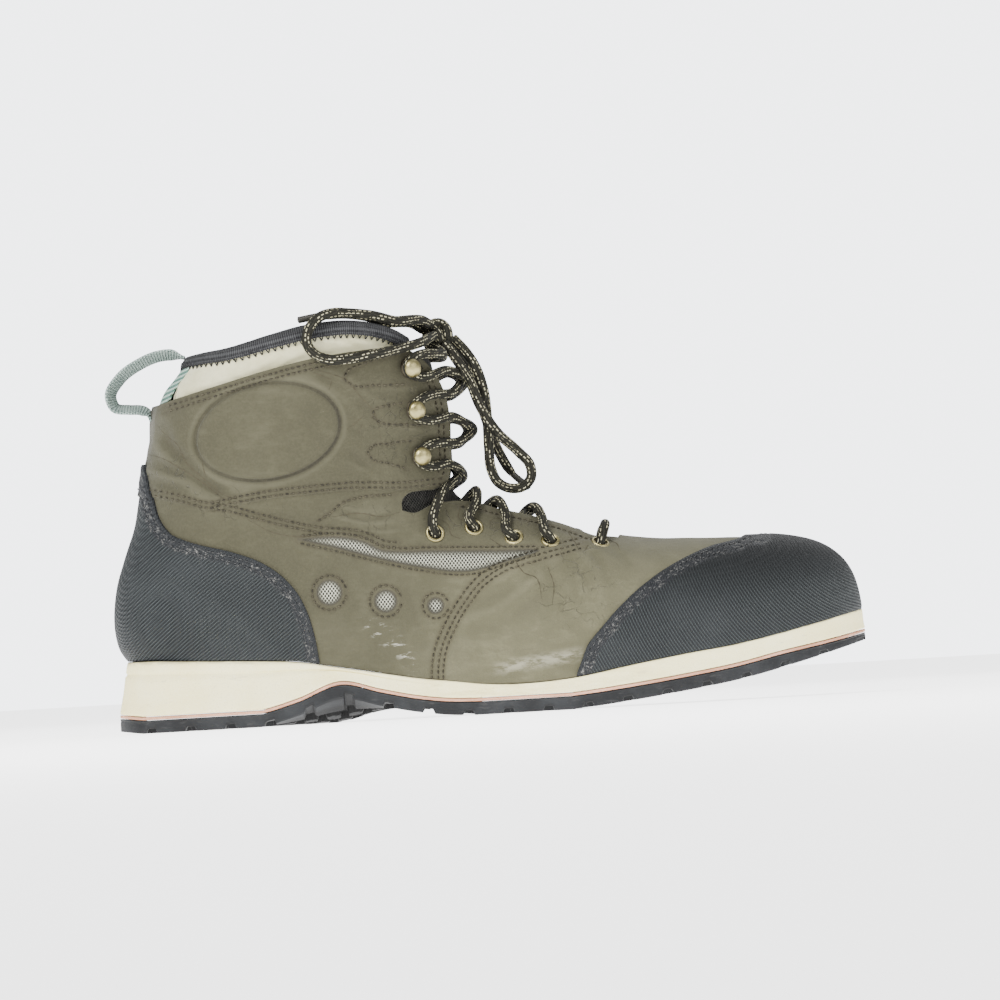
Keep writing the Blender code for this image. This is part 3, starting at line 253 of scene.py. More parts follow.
def smooth(knots, values, at):
    """Cubic through the values, each slope that of the chord between a knot's neighbours."""
    knots, values, at = (np.asarray(each, float) for each in (knots, values, at))
    slopes = np.gradient(values, knots, axis=0)
    left = np.clip(np.searchsorted(knots, at, "right") - 1, 0, len(knots) - 2)
    step = knots[left + 1] - knots[left]
    t = np.clip((at - knots[left]) / step, 0, 1)
    if values.ndim > 1:
        step, t = step[..., None], t[..., None]
    a, b = values[left], values[left + 1]
    da, db = slopes[left] * step, slopes[left + 1] * step
    return a + t * (da + t * (3 * (b - a) - 2 * da - db + t * (da + db - 2 * (b - a))))


def along(points, shares):
    """Points at these shares of the length of a smooth curve through the given points."""
    points = np.asarray(points, float)
    chord = np.linalg.norm(np.diff(points, axis=0), axis=1)
    knots = np.concatenate([[0], np.cumsum(chord)]) / chord.sum()
    return smooth(knots, points, shares)


def even(points, spacing):
    """Points a spacing apart on the smooth curve through these, both ends kept."""
    fine = along(points, np.linspace(0, 1, 40 * len(points)))
    run = np.concatenate([[0], np.cumsum(np.linalg.norm(np.diff(fine, axis=0), axis=1))])
    at = np.linspace(0, run[-1], max(2, round(run[-1] / spacing) + 1))
    return np.column_stack([np.interp(at, run, column) for column in fine.T])


def length_of(points):
    return float(np.linalg.norm(np.diff(points, axis=0), axis=1).sum())


def unit(vectors):
    return vectors / np.maximum(np.linalg.norm(vectors, axis=-1, keepdims=True), 1e-12)


def grid_faces(across, along_count, first=0, closed=False):
    """Quads of a grid of points, and those from its last row back to the first where it is closed."""
    index = first + np.arange(across * along_count).reshape(across, along_count)
    if closed:
        index = np.concatenate([index, index[:1]])
    a, b, c, d = index[:-1, :-1], index[1:, :-1], index[1:, 1:], index[:-1, 1:]
    return np.stack([a, b, c, d], -1).reshape(-1, 4)


def new_piece(name, points, faces, finish, uv=None, values=(), smooth_angle=50):
    """Mesh object of these points and faces at its place in the frame, riding on the boot's one body."""
    mesh = bpy.data.meshes.new(name)
    moved = np.asarray(points, float) + (BACK, 0, 0)
    rings = [list(dict.fromkeys(face)) for face in np.asarray(faces).tolist()]
    mesh.from_pydata(moved.tolist(), [], [face for face in rings if len(face) > 2])
    if uv is not None:
        corners = np.zeros(len(mesh.loops), np.int32)
        mesh.loops.foreach_get("vertex_index", corners)
        layer = mesh.uv_layers.new(name="UVMap")
        layer.data.foreach_set("uv", np.asarray(uv, np.float32)[corners].ravel())
    for key, value in dict(values).items():
        made = mesh.attributes.new(key, "FLOAT", "POINT")
        made.data.foreach_set("value", np.asarray(value, np.float32))
    mesh.materials.append(finish)
    mesh.validate()
    mesh.shade_smooth()
    mesh.set_sharp_from_angle(angle=math.radians(smooth_angle))
    piece = bpy.data.objects.new(name, mesh)
    bpy.context.scene.collection.objects.link(piece)
    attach(piece, "root")
    return piece


def frames(path):
    """Unit tangents of a path and two cross directions carried along it without twist."""
    tangent = unit(np.gradient(path, axis=0))
    first = unit(np.cross(tangent[0], (0.3, 0.2, 1.0)))
    sides = [first]
    for k in range(1, len(path)):
        carried = sides[-1] - tangent[k] * (sides[-1] @ tangent[k])
        sides.append(carried / np.linalg.norm(carried))
    side = np.array(sides)
    return tangent, side, np.cross(tangent, side)


def tube_mesh(path, radius, sides=14):
    """A circle of this radius carried along the path, its ends closed by a low dome.

    Point = path + radius * (side * cos(turn) + other * sin(turn)). The UV is (turn, metres along).
    """
    tangent, side, other = frames(path)
    radius = np.broadcast_to(radius, len(path)).astype(float)
    start, end = path[0] - tangent[0] * radius[0] * 0.35, path[-1] + tangent[-1] * radius[-1] * 0.35
    path = np.vstack([start, path[:1], path, path[-1:], end])
    side = np.vstack([side[:1], side[:1], side, side[-1:], side[-1:]])
    other = np.vstack([other[:1], other[:1], other, other[-1:], other[-1:]])
    path[1] = path[0] + (path[2] - path[0]) * 0.55
    path[-2] = path[-1] + (path[-3] - path[-1]) * 0.55
    radius = np.concatenate([[1e-5, radius[0] * 0.8], radius, [radius[-1] * 0.8, 1e-5]])
    turn = np.linspace(0, 2 * math.pi, sides + 1)
    ring = np.cos(turn)[:, None, None] * side + np.sin(turn)[:, None, None] * other
    points = path + ring * radius[:, None]
    run = np.concatenate([[0], np.cumsum(np.linalg.norm(np.diff(path, axis=0), axis=1))])
    uv = np.stack(np.broadcast_arrays((turn / (2 * math.pi))[:, None], run[None, :]), -1)
    return points.reshape(-1, 3), grid_faces(sides + 1, len(path)), uv.reshape(-1, 2)


def join_meshes(made):
    """Several (points, faces, uv) in one."""
    points, faces, uvs, first = [], [], [], 0
    for part_points, part_faces, uv in made:
        faces.append(np.asarray(part_faces) + first)
        points.append(part_points)
        uvs.append(uv)
        first += len(part_points)
    return np.vstack(points), np.vstack(faces), np.vstack(uvs)


def braid(name, dark, fleck):
    """Cord finish: two sets of yarns wound opposite ways, in lanes, with light yarns that show as dashes."""
    made = Finish(name, 0.75)
    turn, run, _ = made.uv.xyz()
    lanes = turn * YARN_LANES
    wind = run * (1 / YARN_PITCH)
    left, right = (lanes + wind).math("FRACT"), (lanes - wind).math("FRACT")
    left_crown = 1 - (left - 0.5).math("ABSOLUTE") * 2
    right_crown = 1 - (right - 0.5).math("ABSOLUTE") * 2
    over = (lanes + wind).math("FLOOR") + (lanes - wind).math("FLOOR")
    which = (over * 0.5).math("FRACT").within(0.2, 0.3)
    crown = which * left_crown + (1 - which) * right_crown
    lane = (lanes + run * 30).math("FRACT")
    rows = lane.within(0.36, 0.48) * (1 - lane.within(0.72, 0.84))
    dash = (run * (1 / DASH_PITCH) + lanes.math("FLOOR") * 0.5).math("FRACT")
    gaps = (run * (1 / FLECK_PITCH) + lanes.math("FLOOR") * 0.29).math("FRACT").within(0.48, 0.56)
    light = rows * dash.within(0.10, 0.2) * (1 - dash.within(0.66, 0.80)) * gaps
    fuzz = made.place.noise(2500, 2)
    # Painted shade: the yarn colour darkens to a quarter in the grooves between the yarns' crowns
    shade = (crown * 0.7 + fuzz * 0.6).within(0.2, 1.2).mix(tuple(0.25 * c for c in dark), dark)
    colour = light.mix(shade, fleck)
    return made.feed(colour, 0.80, crown + fuzz * 0.3 + light * 0.3, 0.0004, 0.9)


lace_finish = braid("lace_braid", (0.021, 0.020, 0.013), (0.44, 0.41, 0.27))
tip_finish = Finish("lace_tip_plastic", 0.35)
tip_noise = tip_finish.place.noise(900, 3)
tip_colour = tip_noise.mix((0.020, 0.019, 0.016), (0.040, 0.038, 0.030))
tip_finish = tip_finish.feed(tip_colour, 0.35, tip_noise, 0.0001)


def knot_paths():
    """Centre lines of the knot's wraps: a belt round its middle and two strands that tuck under it."""
    turn = np.linspace(0, 2 * math.pi, 40)
    centre = np.array(KNOT_CENTRE)
    belt = centre + np.column_stack([
        (KNOT[0] - 0.0010) * np.sin(turn) + 0.0008,
        0.0016 * np.cos(2 * turn),
        (KNOT[2] - 0.0004) * np.cos(turn),
    ])
    wraps = [belt]
    for way in (-1, 1):
        bend = np.linspace(-1, 1, 26)
        wraps.append(centre + np.column_stack([
            0.0026 * (1 - bend**2) - 0.0014 + 0.0022 * bend,
            way * (0.0058 - 0.0016 * bend**2) * np.cos(0.9 * bend),
            0.0052 * bend * np.cos(0.6 * bend) * way,
        ]))
    return wraps


knot_parts = [tube_mesh(path, 0.0021 if k else 0.0023) for k, path in enumerate(knot_paths())]
inner_turn = np.linspace(-1, 1, 14)
core = np.array(KNOT_CENTRE) + np.column_stack([0 * inner_turn, 0.0060 * inner_turn, 0 * inner_turn])
knot_parts.append(tube_mesh(core, 0.0040 * np.sqrt(1.05 - inner_turn**2)))
knot_points, knot_faces, knot_uv = join_meshes(knot_parts)
knot = new_piece("bow_knot", knot_points, knot_faces, lace_finish, knot_uv)
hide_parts("lace_bow")

for name, route, ending in (
    ("lace_loop_left", LOOP_LEFT, "knot"), ("lace_end_left", END_LEFT, "fitting"),
    ("lace_loop_right", LOOP_RIGHT, "knot"), ("lace_end_right", END_RIGHT, "fitting"),
):
    path = even(route, 0.0012)
    width = np.full(len(path), LACE / 2)
    if ending == "fitting":
        tip_from = int(len(path) * (1 - TIP_LENGTH / length_of(path)))
        tip_points, tip_faces, tip_uv = tube_mesh(path[tip_from:], 0.0015, 12)
        tip = new_piece(name.replace("lace_end", "lace_tip"), tip_points, tip_faces, tip_finish, tip_uv)
        path, width = path[: tip_from + 2], width[: tip_from + 2]
        width[-4:] = np.linspace(LACE / 2, 0.0017, 4)
    points, faces, uv = tube_mesh(path, width)
    cord = new_piece(name.replace("lace_", "bow_"), points, faces, lace_finish, uv)
    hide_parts("lace_bow")
    tuple(path[0] + (BACK, 0, 0))
    path + (BACK, 0, 0)


# Upper: grey-brown nubuck, worn and creased, with a second layer round the ankle that has a pressed oval,
# and a woven mesh inset and three meshed vents on each side. One face over the boot's form, its relief
# worked out from listed seams, folds and edges, with a turned rim and a dark lining behind.
LATERAL, MEDIAL = -1, 1
BOTH = (LATERAL, MEDIAL)
LENGTH, BALL_WIDTH, HEEL_WIDTH = 0.326, 0.111, 0.076
INSTEP_HEIGHT, COLLAR_HEIGHT, HEEL_LIFT = 0.093, 0.173, 0.0315
ANKLE_WIDTH, COLLAR_WIDTH = 0.075, 0.090
WALL, GAP, OVERLAY, PANEL_STEP = 0.0024, 0.0003, 0.0013, 0.0009
HEEL_FLARE, FORE_FLARE, LEDGE, BELLY, BELLY_RISE = 0.0045, 0.0008, 0.0008, 0.0030, 0.024
TOE_ROUND, HEEL_ROUND, LEG_ROUND = 0.075, 0.038, 0.050
FULLNESS, CORNER, INWARD_SWING = 2.15, 4.0, 0.010
# Half-widths of the sole: station, then the outer and the inner side as shares of the width
SOLE_WIDTHS = (
    (0.00, 0.500, 0.500), (0.12, 0.500, 0.500), (0.26, 0.480, 0.450), (0.38, 0.430, 0.350),
    (0.50, 0.440, 0.375), (0.62, 0.485, 0.450), (0.71, 0.498, 0.495), (0.80, 0.490, 0.492),
    (0.90, 0.470, 0.470), (1.00, 0.450, 0.450),
)
# Height of the sole: station, then the tread's outer edge, middle and inner edge, and the midsole's top
SOLE_HEIGHTS = (
    (0.000, 0.045, 0.045, 0.045, 1.005), (0.035, 0.000, 0.000, 0.000, 1.000),
    (0.120, 0.000, 0.000, 0.000, 0.957), (0.190, 0.000, 0.000, 0.000, 0.920),
    (0.240, 0.130, 0.000, 0.030, 0.880), (0.300, 0.335, 0.015, 0.240, 0.760),
    (0.350, 0.200, 0.130, 0.290, 0.660), (0.400, 0.080, 0.150, 0.230, 0.560),
    (0.440, 0.020, 0.070, 0.110, 0.500), (0.485, 0.000, 0.000, 0.000, 0.430),
    (0.600, 0.000, 0.000, 0.000, 0.435), (0.670, 0.065, 0.065, 0.065, 0.550),
    (0.750, 0.165, 0.165, 0.165, 0.675), (0.830, 0.290, 0.290, 0.290, 0.785),
    (0.910, 0.480, 0.480, 0.480, 0.950), (1.000, 0.730, 0.730, 0.730, 1.165),
)
# Side outlines: share of the length, and level, which is 1 at the instep's height and 2 at the collar's
HEEL_BACK = (
    (0.0202, 0.34), (0.0092, 0.40), (0.0049, 0.47), (0.0043, 0.54), (0.0098, 0.68), (0.0227, 0.82),
    (0.0371, 0.955), (0.0461, 1.11), (0.0538, 1.27), (0.0628, 1.43), (0.0670, 1.59),
    (0.0790, 1.70), (0.0960, 1.78), (0.1130, 1.88), (0.1250, 2.00),
)
FRONT = (
    (0.428, 2.35, 0.62), (0.450, 1.93, 0.62), (0.4655, 1.62, 0.64), (0.4705, 1.40, 0.67),
    (0.470, 1.20, 0.71), (0.479, 1.07, 0.76), (0.508, 1.005, 0.76), (0.555, 0.960, 0.74),
    (0.606, 0.893, 0.69), (0.655, 0.822, 0.65), (0.705, 0.783, 0.61), (0.760, 0.771, 0.58),
    (0.845, 0.764, 0.55), (0.920, 0.761, 0.54), (1.060, 0.752, 0.54),
)
LEATHER_TOP = (
    (0.0770, 1.605), (0.104, 1.632), (0.158, 1.685), (0.213, 1.740), (0.267, 1.787), (0.321, 1.818),
    (0.361, 1.834), (0.390, 1.842),
)
FLAP = (
    (0.390, 1.842), (0.412, 1.822), (0.434, 1.745), (0.448, 1.655), (0.456, 1.555), (0.459, 1.45),
    (0.459, 1.34), (0.458, 1.19), (0.452, 1.105), (0.438, 1.072), (0.418, 1.066), (0.402, 1.054),
    (0.393, 1.018), (0.392, 0.965),
)
EYESTAY = (
    (0.392, 0.965), (0.408, 0.952), (0.432, 0.985), (0.456, 1.000), (0.483, 0.996), (0.523, 0.951),
    (0.575, 0.900), (0.615, 0.852), (0.650, 0.800), (0.680, 0.785),
)
# Lines of the leatherwork on the side plane, in millimetres from the heel's back and the floor
PANEL_EDGE = (
    (12, 103), (18.3, 101.8), (31, 98.6), (43.9, 94.5), (58.7, 96.3), (70.7, 97.8), (89.5, 98.9),
    (108.2, 99.5), (127.5, 98.4), (147.0, 99.4),
)
MID_SEAM = (
    (43.9, 95.6), (52.5, 93.9), (69.6, 88.5), (82.4, 84.7), (94, 82.0), (103, 81.1), (111, 79.2),
    (119.5, 74.9), (126, 73.9),
)
VAMP_SEAM = (
    (138.3, 14.5), (138.3, 18.3), (140.2, 29.1), (145.2, 39.7), (152.3, 50.2), (159.3, 57.7),
    (168.3, 63.2), (181.7, 67.3), (192.7, 69.7), (205, 72.5),
)
MESH_PANEL = (
    (82.2, 80.0), (101.8, 79.7), (110.3, 77.5), (118.8, 73.1), (125.3, 72.3), (138.4, 71.9),
    (168.7, 70.2), (186.1, 69.2), (168.4, 64.5), (157.4, 62.1), (133.6, 65.2), (116.4, 69.7), (99.3, 75.1),
    (82.2, 80.0),
)
MESH_PANEL_MEDIAL = (
    (84, 79.5), (104, 80.2), (125.3, 77.3), (143, 75.4), (168.7, 73.2), (188.1, 71.2),
    (176.4, 64.5), (160.4, 57.1), (141.6, 59.2), (116.4, 66.7), (99.3, 73.1), (84, 79.5),
)
FAN_SEAMS = (
    ((132.9, 157.8), (123.4, 156.1), (114.0, 153.6), (107.8, 150.9), (106.3, 148.0), (109.5, 144.9),
     (118.8, 144.3), (133.4, 144.2)),
    ((131.7, 136.6), (123.6, 135.4), (118.2, 133.6), (117.6, 131.2), (119.5, 129.0), (131.1, 126.9),
     (139.1, 126.1)),
    ((134.7, 120.1), (125.3, 119.3), (115.9, 117.7), (114.5, 115.9), (116.0, 113.0), (123.5, 110.4),
     (131.4, 107.5)),
)
LOW_SEAM = ((125.4, 97.0), (110.7, 96.6), (102.6, 94.6), (96.5, 90.2), (90, 86.6))
# Vents: centre (x, z) and radius. Oval: centre (x, z), long and short half-axes, and tilt in degrees
VENTS = ((94.6, 56.2, 5.4), (118.6, 51.2, 4.8), (140.0, 48.0, 3.5))
OVAL = (72.0, 127.0, 31.5, 20.6, 7.5)
# Folds: a line on the side plane, its depth and its half-width, in millimetres
CREASES = (
    (((26.7, 131.3), (31, 122.5), (37.1, 116), (45, 107), (53.5, 99.5)), 0.9, 2.2),
    (((21.2, 118.2), (29, 114), (36.8, 110.7), (46, 105), (56, 102.5)), 0.7, 2.0),
    (((19.5, 110), (27, 107), (35.5, 104.5)), 0.6, 1.6),
    (((91.3, 152.9), (101, 147), (109.3, 141.2), (114.5, 136), (117.9, 130.0)), 0.55, 1.8),
    (((104.5, 130), (110, 126), (117, 122.5)), 0.45, 1.4),
    (((104.5, 118), (111, 113.5), (117, 108), (124, 104.5)), 0.6, 1.8),
    (((101, 111), (108, 107.5), (119, 102.5)), 0.45, 1.5),
    (((118, 142), (127, 139.5), (137, 139.5)), 0.45, 1.4),
    (((119, 124), (129, 122.5), (140, 122.0)), 0.45, 1.4),
    (((98.2, 92.5), (106, 88.8), (116, 87.2), (125, 88.5)), 0.6, 1.3),
    (((96, 88), (106, 84.8), (117, 83), (127, 83.8)), 0.5, 1.2),
    (((92, 86.5), (104, 82.5), (116, 79.8), (130, 78.6)), 0.4, 1.1),
    (((60, 92.5), (72, 90.9), (84, 90.5)), 0.4, 1.4),
    (((95.5, 72), (100, 64), (103.5, 55), (106, 45)), 0.35, 2.6),
    (((126, 63), (128, 54), (131, 44), (133, 33)), 0.45, 2.4),
    (((152, 47), (164, 50), (176, 57), (187, 64)), 0.45, 2.6),
    (((158, 36), (172, 41), (185, 50), (196, 61)), 0.40, 3.4),
    (((196, 68), (203, 61), (207, 52), (208, 43)), 0.35, 1.6),
    (((205, 70), (212, 62), (216, 54)), 0.28, 1.4),
    (((184, 66), (191, 57), (195, 47), (196, 38)), 0.28, 1.6),
    (((214, 71.5), (221, 64), (226, 58)), 0.22, 1.4),
    (((150, 26), (166, 27), (184, 24), (197, 20)), 0.35, 2.2),
)


def ease(t):
    t = np.clip(t, 0, 1)
    return t * t * (3 - 2 * t)


def height(level):
    above = 2 * COLLAR_HEIGHT - INSTEP_HEIGHT
    return np.interp(level, (-1, 1, 2, 3), (-INSTEP_HEIGHT, INSTEP_HEIGHT, COLLAR_HEIGHT, above))


def outline(table):
    """The rows of a side outline as points (x, z) in metres."""
    rows = np.array(table)
    return np.column_stack([rows[:, 0] * LENGTH, height(rows[:, 1])])


def half_width(x, side):
    """Half-width of the sole: its column's share of a width that grows from the heel's to the ball's."""
    rows = np.array(SOLE_WIDTHS)
    share = x / LENGTH
    width = HEEL_WIDTH + (BALL_WIDTH - HEEL_WIDTH) * ease((share - 0.20) / 0.42)
    outer, inner = (width * smooth(rows[:, 0], rows[:, k], share) for k in (1, 2))
    return np.where(np.asarray(side) < 0, outer, inner)


def centre_line(x):
    return INWARD_SWING * ease((x / LENGTH - 0.52) / 0.55) * 1.15


def feather(x):
    """Height at which the upper meets the midsole."""
    rows = np.array(SOLE_HEIGHTS)
    return HEEL_LIFT * smooth(rows[:, 0], rows[:, 4], np.asarray(x) / LENGTH)


def flare(x):
    return FORE_FLARE + (HEEL_FLARE - FORE_FLARE) * (1 - ease((x / LENGTH - 0.05) / 0.40))


def front_line(shares):
    """Front of the closed form with its roundness: (x, z, roundness) at these shares of its length."""
    rows = np.array(FRONT)
    return along(np.column_stack([outline(rows[:, :2]), rows[:, 2] * INSTEP_HEIGHT]), shares)


FRONT_SAMPLES = front_line(np.linspace(0, 1, 160))
HEEL_SAMPLES = along(outline(HEEL_BACK), np.linspace(0, 1, 80))
TOE_TIP = LENGTH - FORE_FLARE - 1.6 * LEDGE
# Where the vamp's ridge turns into the toe's line
TOE_CORNER = TOE_TIP - TOE_ROUND * (1 - 0.5 ** (1 / CORNER))
SAME_PLACE = 2e-6


def top_of_vamp(x):
    fore = FRONT_SAMPLES[FRONT_SAMPLES[:, 0] > 0.5 * LENGTH]
    return np.interp(x, fore[:, 0], fore[:, 1]), np.interp(x, fore[:, 0], fore[:, 2])


def heel_back(z):
    return np.interp(z, HEEL_SAMPLES[:, 1], HEEL_SAMPLES[:, 0])


def to_line(points, line):
    """Distance of side-plane points to a broken line, and on which side of it they lie, by 4000 at a time."""
    points, line = np.asarray(points, float), np.asarray(line, float)
    start, run = line[:-1], np.diff(line, axis=0)
    size = np.maximum((run * run).sum(-1), 1e-18)
    flat = points.reshape(-1, 2)
    away, sign, nearest = (np.empty(len(flat)) for _ in range(3))
    for first in range(0, len(flat), 4000):
        to = flat[first : first + 4000, None, :] - start
        t = np.clip((to * run).sum(-1) / size, 0, 1)
        gap = np.linalg.norm(to - t[..., None] * run, axis=-1)
        best = gap.argmin(-1)
        rows = np.arange(len(best))
        cross = run[best, 0] * to[rows, best, 1] - run[best, 1] * to[rows, best, 0]
        here = slice(first, first + 4000)
        away[here], sign[here], nearest[here] = gap[rows, best], np.sign(cross), best
    shape = points.shape[:-1]
    return away.reshape(shape), sign.reshape(shape), nearest.reshape(shape).astype(int)


def side_width(x, z, side):
    """Half-width of the upper before its front, toe and heel close it: the sole's, blended into the leg's."""
    base = feather(x)
    low = half_width(x, side) - flare(x) - LEDGE
    belly = low + BELLY * ease((z - base) / BELLY_RISE)
    up = ease((z - INSTEP_HEIGHT) / (COLLAR_HEIGHT - INSTEP_HEIGHT))
    leg = (ANKLE_WIDTH + (COLLAR_WIDTH - ANKLE_WIDTH) * up) / 2
    start = base + 0.5 * BELLY_RISE
    share = ease((z - start) / (INSTEP_HEIGHT - start)) * (1 - ease((x / LENGTH - 0.44) / 0.20))
    return belly + (leg - belly) * share


def closing(x, z):
    """1 on the flanks, falling to 0 at the front, toe and heel lines, their nearnesses added as powers."""
    depth, _, nearest = to_line(np.stack([x, z], -1), FRONT_SAMPLES[:, :2])
    near_front = np.clip(1 - depth / FRONT_SAMPLES[nearest, 2], 0, 1)
    near_toe = np.clip(1 - (TOE_TIP - x) / TOE_ROUND, 0, 1)
    back_round = HEEL_ROUND + (LEG_ROUND - HEEL_ROUND) * ease((z - HEEL_LIFT) / (COLLAR_HEIGHT - HEEL_LIFT))
    near_heel = np.clip(1 - (x - heel_back(z)) / back_round, 0, 1)
    near = (near_front**CORNER + near_toe**CORNER + near_heel**CORNER) ** (1 / CORNER)
    return (1 - near**FULLNESS).clip(0) ** (1 / FULLNESS)


def skin(x, z, side):
    """Points of the upper's outer face over the side plane: y = centre + side * width * closing."""
    y = centre_line(x) + side * side_width(x, z, side) * closing(x, z)
    return np.stack([x, y, z], -1)


def ridge(x):
    """Height of the vamp's top line, which rounds over at the toe."""
    top, rounding = top_of_vamp(x)
    near_toe = np.clip(1 - (TOE_TIP - x) / TOE_ROUND, 0, 1)
    return top - rounding * (1 - (1 - near_toe**CORNER) ** (1 / CORNER))


def toe_front(z):
    top, rounding = top_of_vamp(TOE_TIP)
    near_top = np.clip(1 - (top - z) / rounding, 0, 1)
    return TOE_TIP - TOE_ROUND * (1 - (1 - near_top**CORNER) ** (1 / CORNER))


def from_heel(count):
    """Shares from 0 at the heel to 1, crowded at the heel, where the form turns over."""
    turns = np.linspace(0, 1, count)
    return turns * (1 - 0.7 * (1 - turns) ** 6)


def climbing(count):
    """Shares from 0 to 1, crowded at the top, where the form turns over."""
    down = 1 - np.linspace(0, 1, count)
    return 1 - (0.8 * down**2 + 0.2 * down)


def coons(bottom, top, left, right, u=None, v=None):
    """Grid of side-plane points blended between four edges that meet at their ends, at shares u and v."""
    u = (np.linspace(0, 1, len(bottom)) if u is None else u)[:, None, None]
    v = (np.linspace(0, 1, len(left)) if v is None else v)[None, :, None]
    edges = (1 - v) * bottom[:, None] + v * top[:, None] + (1 - u) * left[None] + u * right[None]
    corners = (1 - u) * ((1 - v) * bottom[0] + v * top[0]) + u * ((1 - v) * bottom[-1] + v * top[-1])
    return edges - corners


def both_sides(patches):
    """Side-plane grids laid on both sides of the form and joined along their shared lines.

    Each patch is (grid, whether its first row is the heel's line, first row of the ridge, whether its last
    row is the toe's line). Gives points, faces, normals, which are level on the feather line, and each
    point's place (x, z) and side.
    """
    points, faces, places, sides = [], [], [], []
    for side in BOTH:
        for patch, at_heel, ridge_from, at_toe in patches:
            sheet = skin(patch[..., 0], patch[..., 1], side)
            if at_heel:
                sheet[0, :, 1] = 0
            if ridge_from is not None:
                sheet[ridge_from:, -1, 1] = centre_line(sheet[ridge_from:, -1, 0])
            if at_toe:
                sheet[-1, :, 1] = centre_line(sheet[-1, :, 0])
            made = grid_faces(*patch.shape[:2], first=sum(len(each) for each in points))
            faces.append(made[:, ::-1] if side > 0 else made)
            points.append(sheet.reshape(-1, 3))
            places.append(patch.reshape(-1, 2))
            sides.append(np.full(len(points[-1]), float(side)))
    points, faces = np.vstack(points), np.vstack(faces)
    cells = np.round(points / SAME_PLACE).astype(np.int64)
    _, first, back = np.unique(cells, axis=0, return_index=True, return_inverse=True)
    points, faces = points[first], back.reshape(-1)[faces]
    places, sides = np.vstack(places)[first], np.concatenate(sides)[first]
    normals = normals_of(points, faces)
    normals[places[:, 1] < feather(places[:, 0]) + SAME_PLACE / 2, 2] = 0
    return points, faces, unit(normals), places, sides


def normals_of(points, faces):
    """Sum of the faces' area vectors round each point, made unit length."""
    area = np.cross(points[faces[:, 2]] - points[faces[:, 0]], points[faces[:, 3]] - points[faces[:, 1]])
    total = np.zeros_like(points)
    for k in range(4):
        np.add.at(total, faces[:, k], area)
    return unit(total)


def with_rim(points, faces, normals, profile):
    """Adds a turned edge along the free edges: rings at each (out, along the normal) of the profile.

    Gives the points and faces, and for each point the one of the sheet that it came from.
    """
    edges = np.concatenate([faces[:, [k, (k + 1) % 4]] for k in range(4)])
    edges = edges[edges[:, 0] != edges[:, 1]]
    _, first, counts = np.unique(np.sort(edges, axis=1), axis=0, return_index=True, return_counts=True)
    edges = edges[first[counts == 1]]
    rim, place = np.unique(edges, return_inverse=True)
    place = place.reshape(-1, 2)
    run = unit(points[edges[:, 1]] - points[edges[:, 0]])
    outward = np.zeros((len(rim), 3))
    for k in (0, 1):
        np.add.at(outward, place[:, k], np.cross(run, normals[edges[:, k]]))
    outward = unit(outward)
    rings, walls, above = [points], [faces], rim
    for out, lift in profile:
        below = sum(len(each) for each in rings) + np.arange(len(rim))
        rings.append(points[rim] + outward * out + normals[rim] * lift)
        start, end = place.T
        walls.append(np.stack([above[end], above[start], below[start], below[end]], 1))
        above = below
    source = np.concatenate([np.arange(len(points))] + [rim] * len(profile))
    return np.vstack(rings), np.vstack(walls), source


def smooth_line(table, spacing=0.0012):
    """A listed line in millimetres as even points in metres."""
    return even(np.array(table) / 1000, spacing)


def offset_line(line, by):
    """The line moved sideways on the side plane, to its left where by is above 0."""
    run = unit(np.gradient(line, axis=0))
    return line + np.column_stack([-run[:, 1], run[:, 0]]) * by


def oval_distance(places):
    """Distance from the pressed oval's edge, less than 0 inside it."""
    x, z, long_half, short_half, tilt = OVAL
    turn = math.radians(tilt)
    to = places * 1000 - (x, z)
    a = (to[..., 0] * math.cos(turn) + to[..., 1] * math.sin(turn)) / long_half
    b = (-to[..., 0] * math.sin(turn) + to[..., 1] * math.cos(turn)) / short_half
    size = np.hypot(a, b)
    slope = np.hypot(a / long_half, b / short_half) / np.maximum(size, 1e-6)
    return (size - 1) / slope / 1000


PANEL_LINE = smooth_line(PANEL_EDGE)
VAMP_LINE = smooth_line(VAMP_SEAM)
FLAP_LINE = along(outline(FLAP), np.linspace(0, 1, 80))
STAY_LINE = along(outline(EYESTAY), np.linspace(0, 1, 80))
TOP_LINE = along(outline(LEATHER_TOP), np.linspace(0, 1, 80))
# Stitched rows of the leather: their line, how far to its left, and the sides that have it
LEATHER_ROWS = [(PANEL_LINE, off, BOTH) for off in (0.0013, 0.0036)]
LEATHER_ROWS += [(TOP_LINE[2:-2], -off, BOTH) for off in (0.0018, 0.0040)]
LEATHER_ROWS += [(smooth_line(MID_SEAM), off, BOTH) for off in (0.0, 0.0022)]
LEATHER_ROWS += [(VAMP_LINE, off, BOTH) for off in (-0.0012, -0.0034, 0.0016)]
LEATHER_ROWS += [(smooth_line(seam), 0.0, BOTH) for seam in (*FAN_SEAMS, LOW_SEAM)]
LEATHER_ROWS += [
    (STAY_LINE[20:74], -0.0026, BOTH), (FLAP_LINE[4:62], -0.0027, BOTH), (FLAP_LINE[4:60], -0.0048, BOTH),
]
MESH_ROW = 0.0014
LEATHER_ROWS += [(smooth_line(part), MESH_ROW, (LATERAL,)) for part in (MESH_PANEL[:8], MESH_PANEL[7:])]
LEATHER_ROWS += [
    (smooth_line(part), MESH_ROW, (MEDIAL,)) for part in (MESH_PANEL_MEDIAL[:6], MESH_PANEL_MEDIAL[5:])
]
VENT_ROW = 2.0
for vent_x, vent_z, vent_radius in VENTS:
    turn = np.linspace(0, 2 * math.pi, 32)
    ring = (vent_radius + VENT_ROW) * np.column_stack([np.cos(turn), np.sin(turn)]) + (vent_x, vent_z)
    LEATHER_ROWS.append((ring / 1000, 0.0, BOTH))


